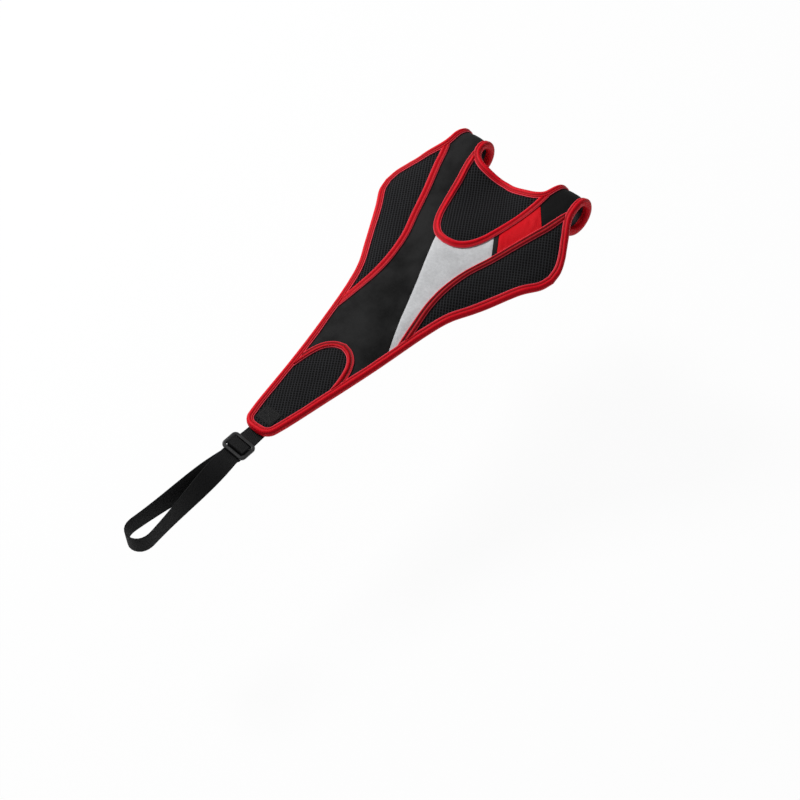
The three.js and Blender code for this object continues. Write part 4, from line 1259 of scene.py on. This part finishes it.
def stitch_rows(rows, sizes):
    """Small rounded stitches along lines on the cloth. Each row gives its points and height."""
    vertices, faces, uvs = [], [], []
    sides, radius = STITCH_SIDES, sizes.thread / 2 / MM
    length, pitch = sizes.stitch_length / MM, sizes.stitch_pitch / MM
    for line, height in rows:
        along = lengths_along(line)
        for start in np.arange(pitch / 2, along[-1] - pitch / 2, pitch):
            places = start + STITCH_PLACES * length
            u, v = np.interp(places, along, line[:, 0]), np.interp(places, along, line[:, 1])
            lift = height + STITCH_ARCH * radius
            middle = cloth_point(u, v, lift)
            up = cloth_point(u, v, lift + 1) - middle
            travel = middle[-1] - middle[0]
            travel /= np.linalg.norm(travel)
            side = np.cross(travel, up)
            first = len(vertices)
            for k, thick in enumerate(STITCH_WIDTHS):
                for s in range(sides):
                    angle = 2 * math.pi * s / sides
                    turn = side[k] * math.cos(angle) + up[k] * math.sin(angle)
                    vertices.append(middle[k] + turn * radius * thick)
                    uvs.append((places[k], s * radius))
            for k in range(len(STITCH_WIDTHS) - 1):
                for s in range(sides):
                    a, b = first + k * sides + s, first + k * sides + (s + 1) % sides
                    faces.append([a, b, b + sides, a + sides])
            faces.append([first + s for s in range(sides)][::-1])
            last = first + (len(STITCH_WIDTHS) - 1) * sides
            faces.append([last + s for s in range(sides)])
    return np.array(vertices), faces, np.array(uvs)


class GUARD_OT_stitches(bpy.types.Operator):
    """Sews the tapes: stitches in the grooves of the binding and of the seam tapes"""
    bl_idname = "guard.stitches"
    bl_label = "Stitches"

    def execute(self, context):
        sizes = context.scene.guard_sizes
        groove = BAND_BOTTOM + sizes.ridge / MM * GROOVE_SHARE
        edge = closed_line(offset_line(PATTERN.edge, EDGE_BAND_WIDTH - GROOVE_MIDDLE, True))
        body = stitch_rows([(edge, groove - GROOVE_STITCH_SINK)], sizes)
        new_piece("binding_stitches", *body, material_of("red thread"), None, "red_tape", smooth_angle=70)
        limit = closed_line(offset_line(PATTERN.edge, EDGE_BAND_WIDTH + STITCH_MARGIN, True))
        rows = []
        for node, line in PATTERN.seams.items():
            middle = offset_line(line, HOLLOW_MIDDLE * mesh_side(node, line))
            height = BAND_BOTTOM + hollow_height(sizes, TAPE_HOLLOWS[node][0])
            rows.append((trimmed(middle, limit), height - HOLLOW_STITCH_SINK))
        body = stitch_rows(rows, sizes)
        new_piece("seam_stitches", *body, material_of("red thread"), None, "red_tape", smooth_angle=70)
        return {"FINISHED"}


class GUARD_OT_pads(bpy.types.Operator):
    """Makes the four hook-and-loop pads that close the arms' flaps"""
    bl_idname = "guard.pads"
    bl_label = "Hook-and-loop pads"

    def execute(self, context):
        middle = (ARM_INNER_X + ARM_OUTER_X) / 2
        hook_v = FLAP_END - PAD_END_MARGIN - PAD_LENGTH / 2
        loop_v = float(surface_point(middle, hook_v)[1])
        for side, name in ((1, "right"), (-1, "left")):
            for kind, v in (("hook", hook_v), ("loop", loop_v)):
                outline = rounded_rectangle((side * middle, v), PAD_WIDTH, PAD_LENGTH, PAD_CORNER_RADIUS)
                depth = pillowed(outline, PAD_THICKNESS, edge_share=0.55, rise=(0.2, 1.6))
                body = layer_body(outline, lambda points: -LAYER_GAP - depth(points), -LAYER_GAP, PAD_STEP)
                new_piece(f"{name}_{kind}_pile", *body, material_of("hook and loop"),
                          f"{name}_{kind}_pad", "hook_and_loop")
        return {"FINISHED"}


# The anchor patch, its box of stitches and the cross in it
ANCHOR_THICKNESS = 0.9
ANCHOR_CORNER = 1.5
ANCHOR_WAVE = 0.12
BOX_MARGIN, BOX_CORNER = 2.5, 0.6
CROSS_MARGIN = 3.0


class GUARD_OT_anchor_patch(bpy.types.Operator):
    """Makes the patch on the tail that the webbing is sewn to, with its box of stitches"""
    bl_idname = "guard.anchor_patch"
    bl_label = "Anchor patch"

    def execute(self, context):
        middle = TAIL_END + EDGE_BAND_WIDTH + ANCHOR_MARGIN + ANCHOR_LENGTH / 2
        outline = rounded_rectangle((0, middle), WEB_WIDTH, ANCHOR_LENGTH, ANCHOR_CORNER)
        lift = pillowed(outline, ANCHOR_THICKNESS, edge_share=0.6, rise=(0, 1.0))

        def face(points):
            return BAND_BOTTOM + lift(points) + ANCHOR_WAVE * ripple(points[:, 0], points[:, 1], 15.0, 7)

        body = layer_body(outline, BAND_BOTTOM, face, FINE_STEP)
        new_piece("anchor_patch_webbing", *body, material_of("woven webbing"), "anchor_patch", "webbing")
        width, length = WEB_WIDTH - 2 * BOX_MARGIN, ANCHOR_LENGTH - 2 * BOX_MARGIN
        box = closed_line(rounded_rectangle((0, middle), width, length, BOX_CORNER))
        u, v = WEB_WIDTH / 2 - CROSS_MARGIN, ANCHOR_LENGTH / 2 - CROSS_MARGIN
        cross = [straight_line((-side * u, middle - v), (side * u, middle + v)) for side in (1, -1)]
        height = BAND_BOTTOM + ANCHOR_THICKNESS + ANCHOR_STITCH_LIFT
        body = stitch_rows([(line, height) for line in [box] + cross], context.scene.guard_sizes)
        new_piece("anchor_stitches", *body, material_of("black thread"), None, "webbing", smooth_angle=70)
        return {"FINISHED"}


# The webbing's path, as in the solids
WEB_ORIGIN = cloth_point(0.0, TAIL_END, -3 * LAYER_GAP - TAPE_THICKNESS - WEB_THICKNESS / 2)
WEB_ALONG = np.array([0, -math.cos(STRAP_SLOPE), -math.sin(STRAP_SLOPE)])
WEB_UP = np.array([0, -math.sin(STRAP_SLOPE), math.cos(STRAP_SLOPE)])
WEB_LAYER = WEB_THICKNESS + LAYER_GAP
FRAME_UP = SLIDER_THICKNESS / 2 + LAYER_GAP + WEB_THICKNESS / 2
BAR_REACH = SLIDER_BAR / 2 + LAYER_GAP + WEB_THICKNESS / 2
BAR_CREST = FRAME_UP + SLIDER_BAR_THICKNESS / 2 + LAYER_GAP + WEB_THICKNESS / 2
SLOT_REACH = BAR_REACH + WEB_LAYER
SLIDER_HALF_LENGTH = SLIDER_BAR / 2 + SLIDER_SLOT + SLIDER_RIM
LOOP_START = SLIDER_DISTANCE + SLIDER_HALF_LENGTH + LAYER_GAP
POST_TURN_RADIUS = POST_DIAMETER / 2 + WEB_THICKNESS / 2
RUN_LEAN = math.asin(POST_TURN_RADIUS / (LOOP_REACH - LOOP_START))
RUN_STEPS = 12
POST_STEPS = 12
SMOOTHING_PASSES = 2


def web_place(across, along, up, turn=0.0):
    """A middle point of the webbing and the direction across its width."""
    middle = WEB_ORIGIN + WEB_ALONG * along + WEB_UP * up + np.array([across, 0, 0])
    return middle, np.array([math.cos(turn), 0, 0]) - WEB_UP * math.sin(turn)


def slider_place(along, up):
    """A place at the slider, which is turned a little about the strap."""
    across, lift = up * math.sin(SLIDER_TURN), up * math.cos(SLIDER_TURN)
    return web_place(across, along, lift, SLIDER_TURN)


def bent_places(corners):
    """Places along straight legs, rounded where the legs meet square; the first and last only steer."""
    corners = np.array(corners, float)
    places = []
    for before, corner, after in zip(corners, corners[1:], corners[2:]):
        back, ahead = (
            (other - corner) * WEB_BEND / np.linalg.norm(other - corner) for other in (before, after)
        )
        for angle in np.linspace(0, math.pi / 2, 5):
            step = back * (1 - math.sin(angle)) + ahead * (1 - math.cos(angle))
            places.append(slider_place(*(corner + step)))
    return places


def feed_places():
    """From the seam under the tail, up through the first slot, over the bar and down again."""
    crest = BAR_CREST + WEB_LAYER
    below_lining = -LAYER_GAP - WEB_THICKNESS / 2
    below_tape = below_lining - 2 * LAYER_GAP - TAPE_THICKNESS
    tape_edge = TAIL_END + EDGE_BAND_WIDTH
    sewn = [
        (WEB_SEWN_LENGTH, below_lining), (WEB_SEWN_LENGTH / 2, below_lining),
        (WEB_DIP_START, below_lining), (WEB_DIP_END, below_tape),
    ]
    places = [(cloth_point(0.0, tape_edge + v, h), np.array([1.0, 0, 0])) for v, h in sewn]
    first, last = SLIDER_DISTANCE - SLOT_REACH, SLIDER_DISTANCE + SLOT_REACH
    return places + [web_place(0, 0, 0)] + bent_places([
        (0, 0), (first, 0), (first, crest), (last, crest), (last, 0), (LOOP_START, 0),
    ])


def run_places(side):
    """One run of the loop, turning upright on its way from the slider to the seat post."""
    end = LOOP_REACH - POST_TURN_RADIUS * math.sin(RUN_LEAN)
    places = []
    for t in np.linspace(0, 1, RUN_STEPS + 1):
        layer = (side - 1) * WEB_LAYER / 2 * (1 - t)
        across = side * POST_TURN_RADIUS * math.cos(RUN_LEAN) * t + layer * math.sin(SLIDER_TURN)
        up = layer * math.cos(SLIDER_TURN) - WEB_LAYER / 2 * t
        turn = SLIDER_TURN + (math.pi / 2 - SLIDER_TURN) * math.sin(t * math.pi / 2)
        places.append(web_place(across, LOOP_START + (end - LOOP_START) * t, up, turn))
    return places


def post_places():
    """Half round the back of the seat post."""
    places = []
    for angle in np.linspace(-RUN_LEAN, math.pi + RUN_LEAN, POST_STEPS + 1)[1:-1]:
        across = POST_TURN_RADIUS * math.cos(angle)
        along = LOOP_REACH + POST_TURN_RADIUS * math.sin(angle)
        places.append(web_place(across, along, -WEB_LAYER / 2, math.pi / 2))
    return places


def web_ring():
    """Section of the webbing: flat, with a thick selvedge along each edge."""
    half, thick = WEB_WIDTH / 2, WEB_THICKNESS / 2
    selvedge = [(half - 2.6, 0.92), (half - 1.7, 0.8), (half - 1.1, 1.0), (half - 0.5, 0.95),
                (half - 0.12, 0.55), (half, 0)]
    top = [(-x, h) for x, h in selvedge[::-1]] + [(-4, 1), (0, 1), (4, 1)] + selvedge
    return np.array([(x, h * thick) for x, h in top] + [(x, -h * thick) for x, h in top[-2:0:-1]])


def end_places():
    """Round the slider's bar and back below its own run, where it is stitched down."""
    under, lowest = -WEB_LAYER, -2 * WEB_LAYER
    first, last = SLIDER_DISTANCE - BAR_REACH, SLIDER_DISTANCE + BAR_REACH
    end = SLIDER_DISTANCE + SLIDER_HALF_LENGTH - LAYER_GAP
    return bent_places([
        (LOOP_START, under), (last, under), (last, BAR_CREST), (first, BAR_CREST), (first, lowest),
        (end, lowest),
    ]) + [slider_place(end, lowest)]


def web_path():
    """The webbing's middle line and the directions across its width and out of its face, smoothed."""
    places = feed_places() + run_places(1) + post_places() + run_places(-1)[::-1] + end_places()
    path = np.array([np.concatenate([middle, width_way]) for middle, width_way in places])
    parts = [path[:1]]
    for a, b in zip(path[:-1], path[1:]):
        count = max(2, int(np.linalg.norm(b[:3] - a[:3]) / LINE_STEP) + 1)
        parts.append(respaced(np.array([a, b]), count=count)[1:] if count > 2 else b[None])
    dense = np.vstack(parts)
    for _ in range(SMOOTHING_PASSES):
        dense[1:-1] = (dense[:-2] + 2 * dense[1:-1] + dense[2:]) / 4
    middle, width_way = dense[:, :3], dense[:, 3:]
    width_way = width_way / np.linalg.norm(width_way, axis=1, keepdims=True)
    face_way = np.cross(np.gradient(middle, axis=0), width_way)
    return middle, width_way, face_way / np.linalg.norm(face_way, axis=1, keepdims=True)


class GUARD_OT_webbing(bpy.types.Operator):
    """Makes the webbing from the tail through the slider and round the seat post"""
    bl_idname = "guard.webbing"
    bl_label = "Webbing loop"

    def execute(self, context):
        middle, width_way, face_way = web_path()
        ring = web_ring()
        across, up = width_way[:, None] * ring[None, :, :1], face_way[:, None] * ring[None, :, 1:]
        grid = middle[:, None] + across + up
        along = lengths_along(middle)
        uvs = np.stack(np.broadcast_arrays(along[:, None], ring[None, :, 0]), axis=-1)
        body = swept_body(grid, uvs, False)
        new_piece("loop_webbing", *body, material_of("woven webbing"), "webbing_loop", "webbing")
        return {"FINISHED"}


class GUARD_OT_slider(bpy.types.Operator):
    """Models the moulded slider: a rounded frame with two slots and a bar between them"""
    bl_idname = "guard.slider"
    bl_label = "Slider"

    def execute(self, context):
        length, inner_width = 2 * SLIDER_HALF_LENGTH, WEB_WIDTH + 2 * SLIM_CLEARANCE
        outside = (inner_width + 2 * SLIM_RIM, length, SLIDER_THICKNESS)
        inside = (inner_width, length - 2 * SLIM_RIM, 4 * SLIDER_THICKNESS)
        piece = rounded_block("moulded_slider", outside, SLIM_CORNER)
        combine(piece, rounded_block("hole", inside, SLIM_CORNER - SLIM_RIM), "DIFFERENCE")
        soften(piece, SLIDER_SOFTNESS)
        bar = rounded_block(
            "bar", (inner_width + SLIDER_RIM, SLIDER_BAR, SLIDER_BAR_THICKNESS), BAR_CORNER)
        soften(bar, BAR_SOFTNESS)
        combine(piece, bar, "UNION")
        centre, width_way = slider_place(SLIDER_DISTANCE, FRAME_UP)
        face_way = np.cross(width_way, -WEB_ALONG)
        columns = np.column_stack([width_way, -WEB_ALONG, face_way, centre * MM])
        piece.data.transform(Matrix(np.vstack([columns, [0, 0, 0, 1]])))
        piece.data.materials.append(material_of("moulded plastic"))
        finish_piece(piece, "slider", smooth_angle=40)
        return {"FINISHED"}


def combine(piece, tool, operation):
    """Cuts the tool out of a piece or joins it on, and removes the tool."""
    change = piece.modifiers.new("combine", "BOOLEAN")
    change.object, change.operation, change.solver = tool, operation, "EXACT"
    select_only(piece)
    bpy.ops.object.modifier_apply(modifier=change.name)
    bpy.data.objects.remove(tool)


def soften(piece, width):
    """Rounds the sharp edges of a piece."""
    bevel = piece.modifiers.new("rounded edges", "BEVEL")
    bevel.width, bevel.segments, bevel.limit_method = width * MM, 5, "ANGLE"
    bevel.angle_limit = math.radians(40)
    select_only(piece)
    bpy.ops.object.modifier_apply(modifier=bevel.name)


def rounded_block(name, size, radius):
    """A block round the origin with rounded corners in plan, shaped from a cube in edit mode."""
    bpy.ops.object.select_all(action="DESELECT")
    bpy.ops.mesh.primitive_cube_add(size=1)
    block = bpy.context.object
    block.name = name
    block.data.transform(Matrix.Diagonal((*(s * MM for s in size), 1)))
    bpy.ops.object.mode_set(mode="EDIT")
    bpy.ops.mesh.select_mode(type="EDGE")
    bpy.ops.mesh.select_all(action="DESELECT")
    bpy.ops.object.mode_set(mode="OBJECT")
    vertices = block.data.vertices
    for edge in block.data.edges:
        a, b = (vertices[i].co for i in edge.vertices)
        edge.select = abs(a.z - b.z) > 1e-6
    bpy.ops.object.mode_set(mode="EDIT")
    bpy.ops.mesh.bevel(offset=radius * MM, segments=7, affect="EDGES")
    bpy.ops.mesh.select_all(action="SELECT")
    bpy.ops.mesh.normals_make_consistent(inside=False)
    bpy.ops.object.mode_set(mode="OBJECT")
    return block


# The stage, in metres. Each light has its place from the target, its width and its power.
LIGHT_TARGET = Vector((0, -0.25, -0.03))
LIGHTS = {
    "key": ((-2.15, -0.3, 2.1), 0.9, 92),
    "fill": ((2.4, -1.8, 1.6), 1.8, 4),
    "front": ((0.6, 2.2, 1.7), 1.6, 3),
}
SOFT_LIGHT = 0.2
FLOOR_WIDTH = 14
FLOOR_WHITE_SHARE = 0.95
CAMERA_PLACE = (1.5144, -1.7157, 2.1393)
SENSOR_WIDTH = 36
VIEW_END = 50


class GUARD_OT_stage(bpy.types.Operator):
    """Sets the pale floor, the soft studio light and the camera"""
    bl_idname = "guard.stage"
    bl_label = "Stage"

    def execute(self, context):
        stage = context.scene.guard_stage
        add_floor(CAD_BOX[0][2] - stage.floor_drop)
        add_world(context.scene)
        for name, (offset, size, power) in LIGHTS.items():
            add_light(name, Vector(offset), size, power)
        add_camera(context.scene, stage)
        context.scene.view_settings.view_transform = "Standard"
        return {"FINISHED"}


def add_floor(height):
    bpy.ops.object.select_all(action="DESELECT")
    bpy.ops.mesh.primitive_plane_add(size=FLOOR_WIDTH)
    floor = bpy.context.object
    floor.name = "floor"
    floor.data.transform(Matrix.Translation((0, 0, height)))
    material = bpy.data.materials.new("pale floor")
    material.use_nodes = True
    material.node_tree.nodes.clear()
    net = Net(material.node_tree)
    matt = net.add("ShaderNodeBsdfDiffuse", Color=(0.9, 0.9, 0.9, 1))
    white = net.add("ShaderNodeEmission", Color=(1, 1, 1, 1), Strength=1.0)
    seen = net.math("MULTIPLY", seen_share(net), FLOOR_WHITE_SHARE)
    mixed = net.add("ShaderNodeMixShader", _0=seen, _1=matt, _2=white)
    net.add("ShaderNodeOutputMaterial", Surface=mixed)
    floor.data.materials.append(material)


def seen_share(net):
    """1 where the camera, a reflection or a clear piece sees the surface."""
    path = net.tree.nodes.new("ShaderNodeLightPath")
    total = net.math("ADD", path.outputs["Is Camera Ray"], path.outputs["Is Glossy Ray"])
    return net.math("MINIMUM", net.math("ADD", total, path.outputs["Is Transmission Ray"]), 1.0)


def add_world(scene):
    world = bpy.data.worlds.new("studio")
    scene.world = world
    world.use_nodes = True
    world.node_tree.nodes.clear()
    net = Net(world.node_tree)
    soft = net.add("ShaderNodeBackground", Color=(0.95, 0.97, 1, 1), Strength=SOFT_LIGHT)
    white = net.add("ShaderNodeBackground", Color=(1, 1, 1, 1), Strength=1.0)
    mixed = net.add("ShaderNodeMixShader", _0=seen_share(net), _1=soft, _2=white)
    net.add("ShaderNodeOutputWorld", Surface=mixed)


def add_light(name, offset, size, power):
    data = bpy.data.lights.new(name, "AREA")
    data.shape, data.size, data.energy = "DISK", size, power
    light = bpy.data.objects.new(name, data)
    bpy.context.scene.collection.objects.link(light)
    light.location = LIGHT_TARGET + offset
    light.rotation_euler = (-offset).to_track_quat("-Z", "Y").to_euler()


def add_camera(scene, stage):
    data = bpy.data.cameras.new("camera")
    data.sensor_width, data.lens, data.clip_end = SENSOR_WIDTH, stage.lens, VIEW_END
    camera = bpy.data.objects.new("camera", data)
    scene.collection.objects.link(camera)
    az, el, roll = stage.azimuth, stage.elevation, stage.roll
    forward = Vector((-math.sin(az) * math.cos(el), math.cos(az) * math.cos(el), -math.sin(el)))
    right = forward.cross(Vector((0, 0, 1))).normalized()
    up = right.cross(forward)
    top = up * math.cos(roll) + right * math.sin(roll)
    side = forward.cross(top)
    place = Matrix((side, top, -forward)).transposed().to_4x4()
    place.translation = Vector(CAMERA_PLACE)
    camera.matrix_world = place
    scene.camera = camera


class GUARD_PT_panel(bpy.types.Panel):
    bl_idname = "GUARD_PT_panel"
    bl_label = "Sweat guard"
    bl_space_type = "VIEW_3D"
    bl_region_type = "UI"
    bl_category = "Sweat guard"

    def draw(self, context):
        for group in (context.scene.guard_sizes, context.scene.guard_finish, context.scene.guard_stage):
            box = self.layout.box()
            for name in group.__annotations__:
                box.prop(group, name)
        for operator in OPERATORS:
            self.layout.operator(operator.bl_idname)


OPERATORS = (
    GUARD_OT_finishes, GUARD_OT_lining, GUARD_OT_mesh_panels, GUARD_OT_cloth_panels,
    GUARD_OT_edge_binding, GUARD_OT_seam_tapes, GUARD_OT_stitches, GUARD_OT_pads,
    GUARD_OT_anchor_patch, GUARD_OT_webbing, GUARD_OT_slider, GUARD_OT_stage,
)
CLASSES = (GuardFinish, GuardSizes, GuardStage, *OPERATORS, GUARD_PT_panel)


def register():
    for cls in CLASSES:
        bpy.utils.register_class(cls)
    bpy.types.Scene.guard_finish = bpy.props.PointerProperty(type=GuardFinish)
    bpy.types.Scene.guard_sizes = bpy.props.PointerProperty(type=GuardSizes)
    bpy.types.Scene.guard_stage = bpy.props.PointerProperty(type=GuardStage)


def unregister():
    del bpy.types.Scene.guard_finish, bpy.types.Scene.guard_sizes, bpy.types.Scene.guard_stage
    for cls in reversed(CLASSES):
        bpy.utils.unregister_class(cls)


def main():
    register()
    for operator in OPERATORS:
        group, name = operator.bl_idname.split(".")
        getattr(getattr(bpy.ops, group), name)()


if __name__ == "__main__":
    main()
